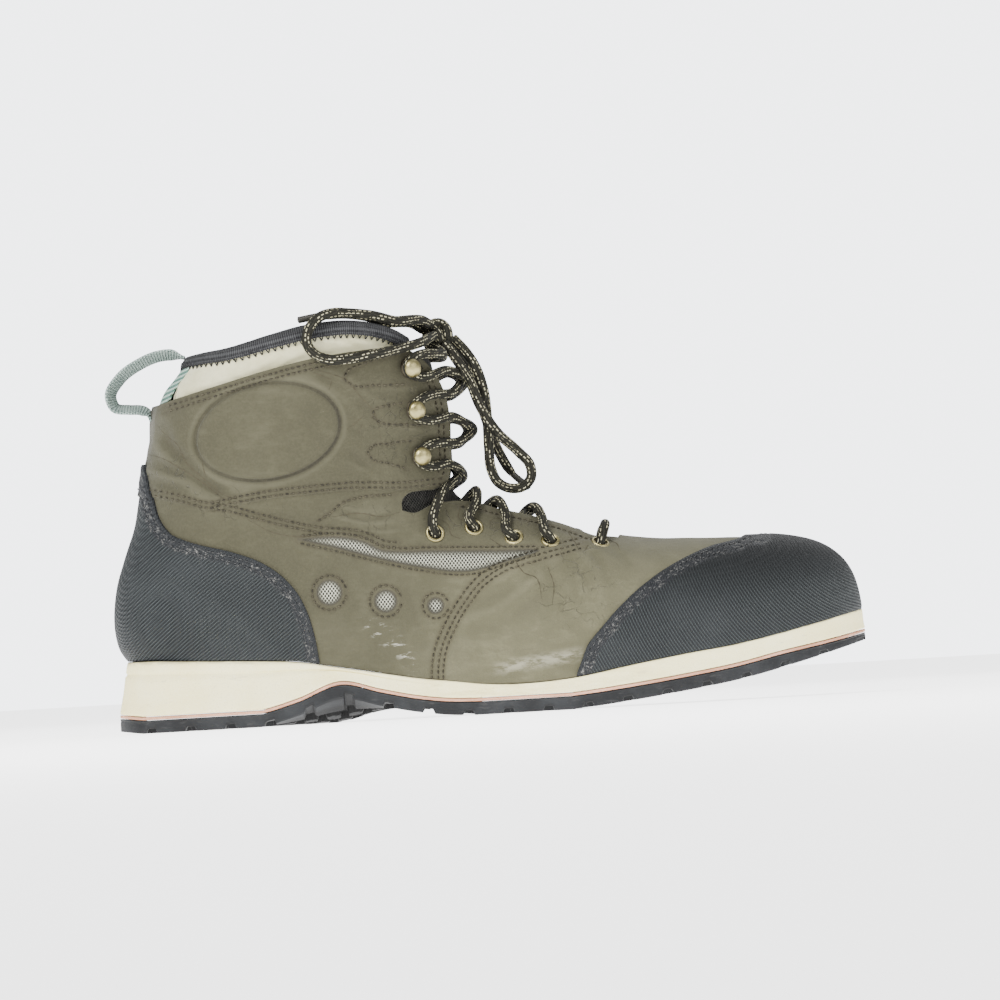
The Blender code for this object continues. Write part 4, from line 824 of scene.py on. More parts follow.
def near_line(places, line, reach):
    """Distance and side of a line for the points within reach of its box, and far away for the others."""
    low, high = line.min(0) - reach, line.max(0) + reach
    inside = ((places > low) & (places < high)).all(-1)
    away, sign = np.full(places.shape[:-1], 1.0), np.zeros(places.shape[:-1])
    if inside.any():
        away[inside], sign[inside], _ = to_line(places[inside], line)
    return away, sign


def inset_distance(places, sides):
    """Distance from the edge of the mesh inset or the nearest vent, less than 0 inside."""
    result = np.full(places.shape[:-1], 0.05)
    for table, side in ((MESH_PANEL, LATERAL), (MESH_PANEL_MEDIAL, MEDIAL)):
        corner = len(table) // 2 + 1
        line = np.vstack([smooth_line(table[: corner + 1]), smooth_line(table[corner:])])
        away, _ = near_line(places, line, 0.006)
        x, z = places[..., 0:1], places[..., 1:2]
        start, end = line[:-1], line[1:]
        spans = (start[:, 1] > z) != (end[:, 1] > z)
        slope = (end[:, 0] - start[:, 0]) / np.where(end[:, 1] == start[:, 1], 1e-9, end[:, 1] - start[:, 1])
        inside = (spans & (x < start[:, 0] + (z - start[:, 1]) * slope)).sum(-1) % 2 == 1
        result = np.where(sides == side, np.minimum(result, np.where(inside, -away, away)), result)
    for x, z, radius in VENTS:
        gap = np.linalg.norm(places - (x / 1000, z / 1000), axis=-1) - radius / 1000
        result = np.minimum(result, gap)
    return result


def seam_distance(places, sides):
    """Distance to the nearest stitched row."""
    result = np.full(places.shape[:-1], 1.0)
    for line, off, which in LEATHER_ROWS:
        away, _ = near_line(places, offset_line(line, off), 0.004)
        result = np.where(np.isin(sides, which), np.minimum(result, away), result)
    return result


def fold_depth(places, sides):
    """Depth of the folds: each a soft trough with a low ridge beside it, fading out at both its ends."""
    total = np.zeros(places.shape[:-1])
    for line, depth, width in CREASES:
        line = smooth_line(line)
        away, sign = near_line(places, line, 0.012)
        near = away < 0.5
        ends = np.minimum(*(np.linalg.norm(places - line[k], axis=-1) for k in (0, -1)))
        fade = ease(ends / 0.007)
        trough = np.exp(-((away / (width / 1000)) ** 2))
        crest = 0.45 * np.exp(-(((away - 2.1 * width / 1000) / (1.2 * width / 1000)) ** 2))
        total += np.where(near, fade * depth / 1000 * (crest - trough), 0)
    x, z = places[..., 0], places[..., 1]
    swell = np.sin(61 * x + 23 * z + sides) * np.sin(83 * z - 31 * x + 2 * sides)
    small = np.sin(210 * x + 160 * z) * np.sin(190 * z - 120 * x + sides)
    return total + 0.00030 * swell + 0.00010 * small


def panel_step(places):
    """How far the ankle's second layer stands out: nothing below its edge."""
    edge = np.interp(places[..., 0], PANEL_LINE[:, 0], PANEL_LINE[:, 1])
    return PANEL_STEP * ease((places[..., 1] - edge) / 0.0007)


def relief(places, sides):
    """How far the leather's face stands out from the form.

    It is the ankle panel's step, the vamp's lap over the quarter, the oval's groove and raised field, the
    sunk insets, the pull of each stitched row, and the folds.
    """
    stand = panel_step(places)
    away, sign = near_line(places, VAMP_LINE, 0.05)
    lap = ease(0.5 - sign * away / 0.0012) * (1 - ease((away - 0.02) / 0.02))
    stand = stand + 0.0005 * lap * (away < 0.5)
    oval = oval_distance(places)
    stand = stand + 0.0005 * ease(-oval / 0.005) - 0.0010 * np.exp(-((oval / 0.0011) ** 2))
    inset = inset_distance(places, sides)
    stand = stand - 0.0007 * ease(-inset / 0.0007) + 0.0002 * np.exp(-((inset / 0.001 - 0.8) ** 2))
    stand = stand - 0.00022 * np.exp(-((seam_distance(places, sides) / 0.0009) ** 2))
    return stand + fold_depth(places, sides)


# Worn places, where fine cracks gather: x, z, and the reaches along and up, in millimetres
WORN_PLACES = (
    (128, 128, 16, 26), (30, 108, 20, 14), (58, 96, 26, 9), (112, 88, 24, 8), (150, 86, 14, 8),
    (176, 80, 16, 7), (204, 68, 14, 8), (200, 50, 22, 18),
)


def wear(places):
    """How cracked the leather is: 1 in the middle of each worn place, falling off as a bell."""
    total = np.zeros(places.shape[:-1])
    for x, z, wide, tall in WORN_PLACES:
        a, b = (places[..., 0] * 1000 - x) / wide, (places[..., 1] * 1000 - z) / tall
        total = np.maximum(total, np.exp(-(a * a + b * b)))
    return total


def form_patches(columns, rows, leg_rows):
    """The foot's grid, from the feather line to the waist, throat and ridge, and the leg's above it.

    columns holds the counts of columns under the waist, the throat and the ridge. They crowd at the heel and
    toe, and the rows crowd at the top, where the form turns over.
    """
    steps, climb = from_heel(columns[0]), climbing(rows)
    waist_end = outline(EYESTAY)[0]
    waist_back = np.array([heel_back(waist_end[1]), waist_end[1]])
    waist = waist_back + steps[:, None] * (waist_end - waist_back)
    throat = along(outline(EYESTAY), np.linspace(0, 1, columns[1]))
    throat[-1, 1] = ridge(throat[-1, 0])
    crest_x = np.linspace(throat[-1, 0], TOE_CORNER, columns[2])
    top = np.vstack([waist, throat[1:], np.column_stack([crest_x, ridge(crest_x)])[1:]])
    back_z = feather(0) + climb * (waist_back[1] - feather(0))
    left = np.column_stack([heel_back(back_z), back_z])
    left[-1] = waist[0]
    front_z = feather(LENGTH) + climb * (top[-1, 1] - feather(LENGTH))
    right = np.column_stack([toe_front(front_z), front_z])
    right[-1] = top[-1]
    toe_steps = np.sin(np.linspace(0, math.pi / 2, columns[2]))[1:]
    waist_x, ball_x = 0.40 * LENGTH, 0.675 * LENGTH
    bottom_x = np.concatenate([
        left[0, 0] + steps * (waist_x - left[0, 0]),
        np.linspace(waist_x, ball_x, columns[1])[1:],
        ball_x + toe_steps * (right[0, 0] - ball_x),
    ])
    bottom = np.column_stack([bottom_x, feather(bottom_x)])
    left[0, 1], right[0, 1] = bottom[0, 1], bottom[-1, 1]
    foot = coons(bottom, top, left, right, v=climb)
    leather = along(outline(LEATHER_TOP), steps)
    leather[0, 0] = heel_back(leather[0, 1])
    left_z = np.linspace(waist[0, 1], leather[0, 1], leg_rows)
    leg_left = np.column_stack([heel_back(left_z), left_z])
    flap = along(outline(FLAP)[::-1], np.linspace(0, 1, leg_rows))
    leg_left[0], flap[0] = waist[0], waist[-1]
    leg_left[-1], flap[-1] = leather[0], leather[-1]
    leg = coons(waist, leather, leg_left, flap)
    ridge_from = len(waist) + len(throat) - 2
    return [(foot, True, ridge_from, True), (leg, True, None, False)]


NET_SLANT, NET_WAVES = 0.75, 2100
nubuck = Finish("worn_nubuck", 0.9, Sheen_Weight=0.08, Sheen_Roughness=0.5)
grain = nubuck.place.noise(900, 5, 0.6)
fine = nubuck.place.noise(3200, 2)
cloud = nubuck.place.noise(22, 5, 0.6)
patch = nubuck.place.noise(75, 6, 0.65)
scuff = nubuck.place.noise(260, 6, 0.7, (0.5, 1, 1.6))
seam, inset, fold = (nubuck.attribute(name) for name in ("seam", "inset", "fold"))
oval_edge, wrinkle = nubuck.attribute("oval"), nubuck.attribute("wrinkle")
deep, mid_tone, pale = (0.064, 0.060, 0.032), (0.110, 0.104, 0.060), (0.192, 0.182, 0.115)
boot_x, _, boot_z = nubuck.place.xyz()
boot_x = boot_x - BACK
high_up = boot_z.within(0.055, 0.115)
tone = (cloud * 0.5 + patch * 0.3 + grain * 0.3 - high_up * 0.10).within(0.30, 0.72)
hide = tone.mix(deep, mid_tone)
hide = ((patch * 0.4 + cloud * 0.3 + scuff * 0.4).within(0.52, 0.80) * 0.55).mix(hide, pale)
# Painted highlight on the folds' crests and swells, and painted shade in their troughs
hide = ((fold * 1400).within(0.05, 0.9) * 0.35).mix(hide, pale)
hide = ((fold * -1100).within(0.15, 1.0) * 0.35).mix(hide, (0.060, 0.053, 0.033))
hide = ((1 - seam.within(0.0002, 0.0022)) * 0.50).mix(hide, (0.070, 0.060, 0.036))
# Fine cracks: the borders of warped cells, where the listed wear is
bent = nubuck.place.out("TexNoise", (), 1, Vector=nubuck.place, Scale=55.0, Detail=3.0)
bent = nubuck.place.out("VectorMath", {"operation": "SCALE"}, 0, _0=bent, Scale=0.022)
bent = nubuck.place.out("VectorMath", {"operation": "ADD"}, 0, _0=nubuck.place, _1=bent)
cells = bent.out("TexVoronoi", {"feature": "DISTANCE_TO_EDGE"}, 0, Vector=bent, Scale=120.0)
crack = (1 - cells.within(0.0, 0.045)) * wrinkle.within(0.15, 0.9) * scuff.within(0.44, 0.60)
hide = (crack * 0.42).mix(hide, (0.040, 0.035, 0.021))
# Painted shade along the oval's groove, heavier on its lower right side, and a painted highlight just outside
# the oval
groove = 1 - oval_edge.math("ABSOLUTE").within(0.0002, 0.0011)
shaded_side = (boot_x * 0.9 - boot_z * 0.8 + (0.102 * 0.8 - 0.045 * 0.9)).within(-0.02, 0.03)
hide = (groove * (0.40 + 0.6 * shaded_side)).mix(hide, (0.022, 0.019, 0.012))
oval_rim_highlight = (1 - (oval_edge - 0.0022).math("ABSOLUTE").within(0.0, 0.0016)) * 0.3
hide = oval_rim_highlight.mix(hide, pale)
spots = nubuck.place.noise(520, 3, 0.75)
hide = ((spots * 0.6 + patch * 0.4).within(0.66, 0.74) * 0.5).mix(hide, (0.38, 0.37, 0.30))
hide = (fine * 0.30).mix(hide, (0.12, 0.112, 0.073))
# The leather is darker everywhere but on the vamp, where light dust and a few scrapes lie
off_vamp = 1 - boot_x.within(0.110, 0.175) * (1 - boot_z.within(0.060, 0.085))
hide = (off_vamp * 0.50).mix(hide, (0.016, 0.015, 0.009))
hide = (grain.within(0.45, 0.60) * 0.22).mix(hide, (0.060, 0.055, 0.034))
dust_line = (boot_z - boot_x * 0.12 + 0.0005).math("ABSOLUTE").within(0.0, 0.0045)
dust = (1 - dust_line) * boot_x.within(0.160, 0.172) * (1 - boot_x.within(0.196, 0.206))
hide = (dust * scuff.within(0.38, 0.58) * 0.5).mix(hide, (0.36, 0.345, 0.26))
scrape = 1 - (boot_x + boot_z - (0.118 + 0.036)).math("ABSOLUTE").within(0.0, 0.008)
scrape = scrape * boot_x.within(0.104, 0.110) * (1 - boot_x.within(0.126, 0.132))
scrape = scrape * (1 - boot_z.within(0.040, 0.046))
hide = (scrape * scuff.within(0.55, 0.62) * 0.7).mix(hide, (0.40, 0.39, 0.32))
# Woven mesh: two sets of light threads that cross aslant, and dark pores between them
net_a = ((boot_x + boot_z * NET_SLANT) * NET_WAVES).math("SINE")
net_b = ((boot_x - boot_z * NET_SLANT) * NET_WAVES).math("SINE")
pore = (net_a * net_b).math("ABSOLUTE").within(0.16, 0.50)
woven = pore.mix((0.50, 0.50, 0.40), (0.012, 0.012, 0.009))
woven = (patch.within(0.4, 0.8) * 0.4).mix(woven, (0.20, 0.20, 0.14))
# Painted shadow inside the edge of the mesh inset and of each vent, under the leather's edge
woven = (1 - (inset * -1).within(0.0, 0.0028)).mix(woven, (0.05, 0.048, 0.036))
in_mesh = 1 - inset.within(-0.0003, 0.0001)
lip = (1 - inset.math("ABSOLUTE").within(0.0002, 0.0007)) * 0.6
surface = in_mesh.mix(hide, woven)
surface = lip.mix(surface, (0.045, 0.040, 0.028))
bumps = grain * 0.5 + fine * 0.3 + scuff * 0.5 - crack * 1.2 - groove
bumps = (1 - in_mesh) * bumps + in_mesh * (1 - pore) * 1.2
nubuck = nubuck.feed(surface, 0.72 + 0.2 * patch, bumps, 0.00035, 0.85)

COLUMNS = (145, 115, 90)
sheet_points, sheet_faces, sheet_normals, places, sides = both_sides(form_patches(COLUMNS, 86, 96))
stand = relief(places, sides)
leather_points = sheet_points + sheet_normals * stand[:, None]
RIM = ((0.00018, -0.00025), (0.00022, -0.0008), (0.0001, -0.0015), (0, -WALL))
rim_points, rim_faces, source = with_rim(leather_points, sheet_faces, sheet_normals, RIM)
upper = new_piece("upper_nubuck", rim_points, rim_faces, nubuck, values=(
    ("seam", seam_distance(places, sides)[source]), ("inset", inset_distance(places, sides)[source]),
    ("fold", fold_depth(places, sides)[source]), ("oval", oval_distance(places)[source]),
    ("wrinkle", wear(places)[source]),
))
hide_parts("upper")

knit = Finish("dark_lining", 0.95)
knit_x, knit_y, knit_z = knit.place.xyz()
loops = ((knit_x + knit_y) * 2600).math("SINE") * (knit_z * 3000).math("SINE")
knit_colour = loops.within(-0.6, 0.6).mix((0.020, 0.020, 0.019), (0.055, 0.055, 0.052))
knit = knit.feed(knit_colour, 0.95, loops, 0.0002)
inner_points, inner_faces, inner_normals, _, _ = both_sides(form_patches((60, 46, 36), 36, 40))
lining = new_piece("upper_lining", inner_points - inner_normals * WALL, inner_faces[:, ::-1], knit)


# Toe cap and heel counter: slate-black rubberised fabric with fine slanting ribs, glued and sewn over the
# leather with two rows along their edge, scuffed pale on the rows. Each is a grid of its own over the form,
# lifted by the leather and its own thickness; the counter runs on up the back as a strip.
TOE_CAP_EDGE = (
    (0.610, 0.158), (0.616, 0.205), (0.628, 0.297), (0.645, 0.363), (0.673, 0.461),
    (0.715, 0.574), (0.757, 0.655), (0.798, 0.712), (0.839, 0.745), (0.865, 0.800),
)
COUNTER_EDGE = (
    (0.2715, 0.289), (0.268, 0.392), (0.260, 0.512), (0.248, 0.608), (0.229, 0.691),
    (0.204, 0.757), (0.165, 0.816), (0.119, 0.863), (0.086, 0.914), (0.072, 0.980), (0.0640, 1.10),
    (0.0568, 1.29),
)
RIB_PITCH, RIB_CENTRE = 0.00125, (0.333, 0.082)
COVER_ROWS = (0.0018, 0.0040)
cap_edge = along(outline(TOE_CAP_EDGE), np.linspace(0, 1, 90))
cap_edge[0, 1], cap_edge[-1, 1] = feather(cap_edge[0, 0]), ridge(cap_edge[-1, 0])
cap_edge[:, 1] = np.minimum(cap_edge[:, 1], ridge(cap_edge[:, 0]) - 0.06 * (cap_edge[-1, 0] - cap_edge[:, 0]))
counter_edge = along(outline(COUNTER_EDGE), np.linspace(0, 1, 100))
counter_edge[0, 1] = feather(counter_edge[0, 0])


def cap_patch(columns, rows):
    """Toe cap's grid: its edge on the left, the ridge above, the toe's line right, the feather line below."""
    climb = climbing(rows)
    steps = np.sin(np.linspace(0, math.pi / 2, columns))
    left = along(cap_edge, climb)
    top_x = np.linspace(cap_edge[-1, 0], TOE_CORNER, columns)
    top = np.column_stack([top_x, ridge(top_x)])
    right_z = feather(LENGTH) + climb * (top[-1, 1] - feather(LENGTH))
    right = np.column_stack([toe_front(right_z), right_z])
    bottom_x = cap_edge[0, 0] + steps * (right[0, 0] - cap_edge[0, 0])
    bottom = np.column_stack([bottom_x, feather(bottom_x)])
    left[0], left[-1], right[0], right[-1] = bottom[0], top[0], bottom[-1], top[-1]
    grid = coons(bottom, top, left, right, v=climb)
    grid[:, :-1, 1] = np.minimum(grid[:, :-1, 1], ridge(grid[:, :-1, 0]) - 2e-5)
    return grid


def counter_patch(columns, rows):
    """Counter's grid: the heel's line on the left, the counter's edge right, the feather line below."""
    steps = from_heel(columns)
    right = along(counter_edge, np.linspace(0, 1, rows))
    left_z = feather(0) + np.linspace(0, 1, rows) * (right[-1, 1] - feather(0))
    left = np.column_stack([heel_back(left_z), left_z])
    bottom_x = left[0, 0] + steps * (right[0, 0] - left[0, 0])
    bottom = np.column_stack([bottom_x, feather(bottom_x)])
    left[0], right[0] = bottom[0], bottom[-1]
    top = left[-1] + steps[:, None] * (right[-1] - left[-1])
    return coons(bottom, top, left, right, u=steps)


ribbed = Finish("ribbed_fabric", 0.62)
rim, flow = ribbed.attribute("rim"), ribbed.attribute("flow")
ribs = (flow * (2 * math.pi / RIB_PITCH)).math("SINE")
rib_x, rib_y, rib_z = ribbed.place.xyz()
thread = ((rib_x * 0.8 - rib_z * 0.6 + rib_y * 0.5) * (2 * math.pi / 0.0011)).math("SINE")
rib_crown = ribs.within(-0.7, 0.8)
worn_cloud, worn_spots = ribbed.place.noise(30, 5), ribbed.place.noise(420, 5, 0.7)
dust = ribbed.place.noise(1400, 3, 0.7)
dots = thread.within(-0.5, 0.6)
high = rib_z.within(0.040, 0.066) * (rib_x - BACK).within(0.15, 0.20)
lit_ribs = (rib_crown * (0.55 + 0.45 * dots) * 0.8 + worn_cloud * 0.3).within(0.05, 1.0)
face = lit_ribs.mix((0.0075, 0.0086, 0.0092), (0.036, 0.042, 0.0435))
face = (worn_cloud.within(0.45, 0.72) * 0.25).mix(face, (0.040, 0.044, 0.046))
# Painted shade: the top of the toe cap darker
face = (high * 0.85).mix(face, (0.007, 0.0075, 0.008))
near_edge = 1 - rim.within(0.0046, 0.0062)
face = (near_edge * 0.75).mix(face, (0.014, 0.015, 0.017))
on_rows = near_edge * rim.within(0.0008, 0.0016)
face = (on_rows * (worn_spots * 0.7 + dust * 0.5).within(0.62, 0.78) * 0.8).mix(face, (0.22, 0.215, 0.20))
face = ((worn_spots * 0.6 + dust * 0.5).within(0.75, 0.82) * 0.5).mix(face, (0.32, 0.31, 0.29))
rib_height = rib_crown * (1 - near_edge * 0.7) + thread * 0.3 + worn_spots * 0.25
ribbed = ribbed.feed(face, 0.50 + 0.25 * worn_spots, rib_height, 0.00045, 0.9)

OVERLAY_RIM = ((0.0001, -0.0003), (0.00012, -0.0009), (0, -OVERLAY - GAP - 0.0008))
for name, node, patch, edge, ridge_from, at_heel, at_toe in (
    ("toe_cap_fabric", "toe_cap", cap_patch(170, 110), cap_edge, 0, False, True),
    ("heel_counter_fabric", "heel_counter", counter_patch(110, 130), counter_edge, None, True, False),
):
    points, faces, normals, place, side = both_sides([(patch, at_heel, ridge_from, at_toe)])
    away, _, _ = to_line(place, edge)
    lift = GAP + OVERLAY + panel_step(place) + 0.5 * fold_depth(place, side)
    lift -= 0.0004 * (1 - ease(away / 0.0011))
    lift -= 0.0004 * (1 - ease((place[:, 1] - feather(place[:, 0])) / 0.0016))
    for row in COVER_ROWS:
        lift -= 0.00022 * np.exp(-(((away - row) / 0.0006) ** 2))
    # The ribs' own coordinate: rings round a point ahead of the toe, and slanting lines on the counter
    if at_toe:
        flow = np.linalg.norm(place - RIB_CENTRE, axis=1)
    else:
        flow = place[:, 0] * 0.58 - place[:, 1] * 0.81 + 0.15 * np.abs(points[:, 1])
    cover, cover_faces, source = with_rim(points + normals * lift[:, None], faces, normals, OVERLAY_RIM)
    values = (("rim", away[source]), ("flow", flow[source]))
    piece = new_piece(name, cover, cover_faces, ribbed, values=values)
    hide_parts(node)


# Sewing: the rows of thread that hold the leather, the cap and the counter. A stitch is a short arch of
# thread whose ends dip into its holes, set by its row's pitch on the leather's relief.
def on_form(places, side, lift):
    """Points this far over the upper's face, and its outward normals from nearby points of the form."""
    x, z = places[..., 0], places[..., 1]
    step = 4e-4
    here = skin(x, z, side)
    normal = unit(np.cross(skin(x + step, z, side) - here, skin(x, z - step, side) - here) * side)
    return here + normal * np.reshape(lift, (-1, 1)), normal


def stitch_meshes(rows, pitch, length, radius, over):
    """All stitches of the rows as one mesh, 6 points round and 5 along each.

    Centre = middle + run * t * length / 2 + normal * radius * (1.2 - 2.2 t^2), radius * sqrt(1 - 0.8 t^2).
    """
    made = []
    t = np.linspace(-1, 1, 5)[None, :, None, None]
    turn = np.linspace(0, 2 * math.pi, 7)[:-1][None, None, :, None]
    for line, off, which in rows:
        path = even(offset_line(line, off), pitch)[1:-1]
        run_flat = unit(np.gradient(path, axis=0))
        for side in which:
            lift = over(path, np.full(len(path), float(side)))
            middle, normal = on_form(path, side, lift)
            ahead, _ = on_form(path + run_flat * 2e-4, side, lift)
            run = unit(ahead - middle)
            across = unit(np.cross(run, normal))
            centre = middle[:, None, None] + run[:, None, None] * t * length / 2
            centre = centre + normal[:, None, None] * radius * (1.2 - 2.2 * t**2)
            ring = np.cos(turn) * across[:, None, None] + np.sin(turn) * normal[:, None, None]
            points = centre + ring * radius * np.sqrt(1 - 0.8 * t**2)
            count = len(path)
            index = np.arange(30).reshape(5, 6)
            quads = [index[:-1], index[1:], np.roll(index[1:], -1, 1), np.roll(index[:-1], -1, 1)]
            quads = np.stack(quads, -1)
            caps = np.array([[0, 1, 2, 3], [0, 3, 4, 5], [27, 26, 25, 24], [29, 28, 27, 24]])
            faces = np.vstack([quads.reshape(-1, 4), caps])
            faces = (faces[None] + 30 * np.arange(count)[:, None, None]).reshape(-1, 4)
            made.append((points.reshape(-1, 3), faces, np.zeros((30 * count, 2))))
    return join_meshes(made)[:2]


def thread_finish(name, dark, light):
    made = Finish(name, 0.7)
    tone = made.place.noise(700, 3)
    return made.feed(tone.within(0.35, 0.7).mix(dark, light), 0.7, made.place.noise(5000, 1), 0.0001)


olive_thread = thread_finish("olive_thread", (0.020, 0.018, 0.012), (0.070, 0.062, 0.040))
slate_thread = thread_finish("slate_thread", (0.012, 0.013, 0.015), (0.075, 0.075, 0.075))


def over_leather(path, sides):
    return relief(path, sides) + 0.00012


def over_cover(path, sides):
    return GAP + OVERLAY + panel_step(path) - 0.00010


STITCH_PITCH, STITCH_LENGTH = 0.0025, 0.0020
cap_rows = [(cap_edge[2:-2], -off, BOTH) for off in COVER_ROWS]
counter_rows = [(counter_edge[1:-6], off, BOTH) for off in COVER_ROWS]
for name, rows, over, finish, slot_name, radius in (
    ("leather_stitches", LEATHER_ROWS, over_leather, olive_thread, "leather", 0.00034),
    ("cover_stitches", cap_rows + counter_rows, over_cover, slate_thread, "ribbed_fabric", 0.00027),
):
    stitches = stitch_meshes(rows, STITCH_PITCH, STITCH_LENGTH, radius, over)
    piece = new_piece(name, *stitches, finish, smooth_angle=80)


# Cracks: the longest fine cracks of the leather, worn into it where it bends. Each is a hair-thin dark ribbon
# on its face, a listed line in millimetres that sways a little and thins out at both ends.
CRACKS = (
    ((92.4, 152.8), (100.1, 150.4), (106.9, 147.3), (112.0, 140.8), (118.5, 131.8), (120.2, 120.9)),
    ((105.7, 125.6), (110.5, 129.2), (114.6, 132.1)),
    ((111.0, 123.7), (112.8, 128.3)),
    ((24.8, 133.0), (28.7, 127.8), (33.3, 123.4), (35.1, 117.7), (42.9, 108.9), (50.9, 101.4), (60.4, 97.4)),
    ((19.9, 120.7), (26.7, 118.2), (34.8, 112.8), (42.8, 106.8), (50.8, 100.0), (56.2, 96.6)),
    ((43.3, 115.8), (44.6, 108.8)),
    ((61.4, 89.6), (72.2, 83.4), (83.2, 81.1), (97.3, 82.0)),
    ((97.6, 88.7), (108.9, 89.7), (119.9, 87.7), (127.0, 89.2)),
    ((101.0, 147.4), (99.4, 143.3)),
    ((92.9, 151.4), (101.0, 147.7)),
    ((174.2, 67.7), (178.9, 59.8), (184.1, 56.9), (185.9, 47.9)),
    ((189.2, 61.7), (191.3, 54.0), (190.2, 45.1)),
    ((142.3, 85.9), (147.4, 82.6), (148.6, 78.0), (152.3, 76.3)),
    ((153.1, 90.6), (152.1, 85.4), (155.0, 83.7)),
    ((164.8, 83.1), (169.4, 84.4), (171.3, 79.0)),
    ((181.3, 81.4), (183.3, 83.6)),
    ((199.1, 76.6), (201.2, 72.7), (202.5, 68.9)),
    ((207.1, 70.1), (205.4, 67.6)),
    ((216.2, 71.9), (219.9, 69.4), (220.5, 67.1)),
    ((165.1, 75.6), (169.4, 72.3), (172.4, 71.0)),
)
crack_parts = []
for line in CRACKS:
    path = even(np.array(line) / 1000, 0.0007)
    beat = np.arange(len(path))
    sway = 0.00009 * np.cumsum(np.sin(beat * 2.1) * np.sin(beat * 0.83 + path[0, 0] * 900))
    path = offset_line(path, sway[:, None])
    half = 0.00024 * np.sin(np.linspace(0.08, math.pi - 0.08, len(path))) ** 0.6
    half = (half * (0.75 + 0.35 * np.sin(beat * 1.3)))[:, None]
    for side in BOTH:
        edge_rows = [offset_line(path, half * way) for way in (-1, 1)]
        lifts = [relief(row, np.full(len(row), float(side))) + 0.00009 for row in edge_rows]
        strip = np.stack([on_form(row, side, lift)[0] for row, lift in zip(edge_rows, lifts)])
        faces = grid_faces(2, len(path))
        faces = faces if side > 0 else faces[:, ::-1]
        crack_parts.append((strip.reshape(-1, 3), faces, np.zeros((2 * len(path), 2))))
crack_finish = Finish("crack_shade", 0.95)
crack_tone = crack_finish.place.noise(800, 3)
crack_finish = crack_finish.feed(crack_tone.mix((0.030, 0.026, 0.016), (0.075, 0.066, 0.042)))
cracks = new_piece("leather_cracks", *join_meshes(crack_parts)[:2], crack_finish)


# Midsole: a cream foam wedge, thick at the heel, with a small step low on its side and stains from use,
# ground off flush with the ply below it. Rings of lines run along both sides from the heel to the toe.
OUTSOLE, LUG_DEPTH, LUG_PITCH, LUG_SHARE, PLY = 0.0055, 0.003, 0.0172, 0.70, 0.0013
SIDE_STEP, STEP_HEIGHT = 0.0007, 0.24
turns = np.linspace(0, 1, 430)
STATIONS = LENGTH * (0.06 * turns + 0.94 * (1 - np.cos(math.pi * turns)) / 2)


def sole_height(x, across):
    """Underside of the sole at x, across from -1 at the outer edge to 1 at the inner edge."""
    rows = np.array(SOLE_HEIGHTS)
    low = smooth(rows[:, 0], rows[:, 1:4], np.asarray(x) / LENGTH)
    low = np.where(low < 0.004, 0.0, low)
    outer, middle, inner = low[..., 0], low[..., 1], low[..., 2]
    bend = across * across
    return HEEL_LIFT * (middle * (1 - bend) + bend * np.where(across < 0, outer, inner))


def tread(x):
    """Thickness of the outsole with its lugs: it thins towards the toe."""
    return OUTSOLE * (1 - 0.45 * ease((x / LENGTH - 0.86) / 0.14))


def sole_edge(x, side, inset):
    """Plan outline of the sole on one side, moved in by inset along its normal."""
    near_toe = np.clip(1 - (LENGTH - x) / TOE_ROUND, 0, 1)
    near_heel = np.clip(1 - x / HEEL_ROUND, 0, 1)
    end_shape = (1 - near_toe**FULLNESS - near_heel**FULLNESS).clip(0) ** (1 / FULLNESS)
    y = centre_line(x) + side * half_width(x, side) * end_shape
    run, rise = np.gradient(x), np.gradient(y)
    run[[0, -1]] = 0
    size = np.hypot(run, rise)
    normal_x, normal_y = -side * rise / size, side * run / size
    normal_x[0], normal_x[-1] = -1, 1
    return x - normal_x * inset, y - normal_y * inset


def side_line(side, inset, rise):
    x, y = sole_edge(STATIONS, side, inset)
    return np.column_stack([x, y, rise])


def sole_rings(lines):
    """Closed rings of lines from heel to toe, which meet on the centre line at both ends."""
    grid = np.stack(lines, 0)
    ends = grid[:, [0, -1], 0]
    grid[:, [0, -1], 1] = centre_line(ends)
    return grid.reshape(-1, 3), grid_faces(*grid.shape[:2], closed=True)[:, ::-1]


def foam_line(side, share, step, more):
    base = sole_height(STATIONS, side) + tread(STATIONS) + PLY + 2 * GAP
    inset = share * flare(STATIONS) + step * SIDE_STEP * (1 - ease((STATIONS / LENGTH - 0.30) / 0.15)) + more
    return side_line(side, inset, base + share * (feather(STATIONS) - GAP - base))


FOAM_PROFILE = (
    (0, 0, 0.004), (0, 0, 0.0005), (0.02, 0, 0.0001), (0.06, 0, 0), (0.2, 0, 0.0001), (0.4, 0, 0.0002),
    (0.6, 0, 0.0001), (0.71, 0, 0), (0.745, 0.9, 0), (0.765, 1.0, 0), (0.79, 0.2, 0), (0.81, 0, 0),
    (0.9, 0, 0), (0.97, 0, 0.0001), (1, 0, 0.0004), (1, 0, 0.0012), (1, 0, 0.006),
)
foam = Finish("cream_foam", 0.88)
cells, blotch = foam.place.noise(1500, 4, 0.75), foam.place.noise(38, 5, 0.6)
smear = foam.place.noise(130, 5, 0.65, (0.35, 1, 2.2))
foam_x, _, foam_z = foam.place.xyz()
foam_x = foam_x - BACK
cream = blotch.within(0.35, 0.7).mix((0.92, 0.83, 0.43), (0.97, 0.90, 0.53))
cream = (cells.within(0.56, 0.66) * 0.55).mix(cream, (0.62, 0.55, 0.34))
cream = (cells.within(0.33, 0.42) * -1 + 1).mix(cream, (0.97, 0.93, 0.72))
arch = foam_x.within(0.115, 0.150) * (1 - foam_x.within(0.20, 0.26))
cream = (arch * smear.within(0.42, 0.66) * 0.45).mix(cream, (0.62, 0.54, 0.24))
cream = (smear.within(0.60, 0.74) * 0.45).mix(cream, (0.34, 0.30, 0.21))
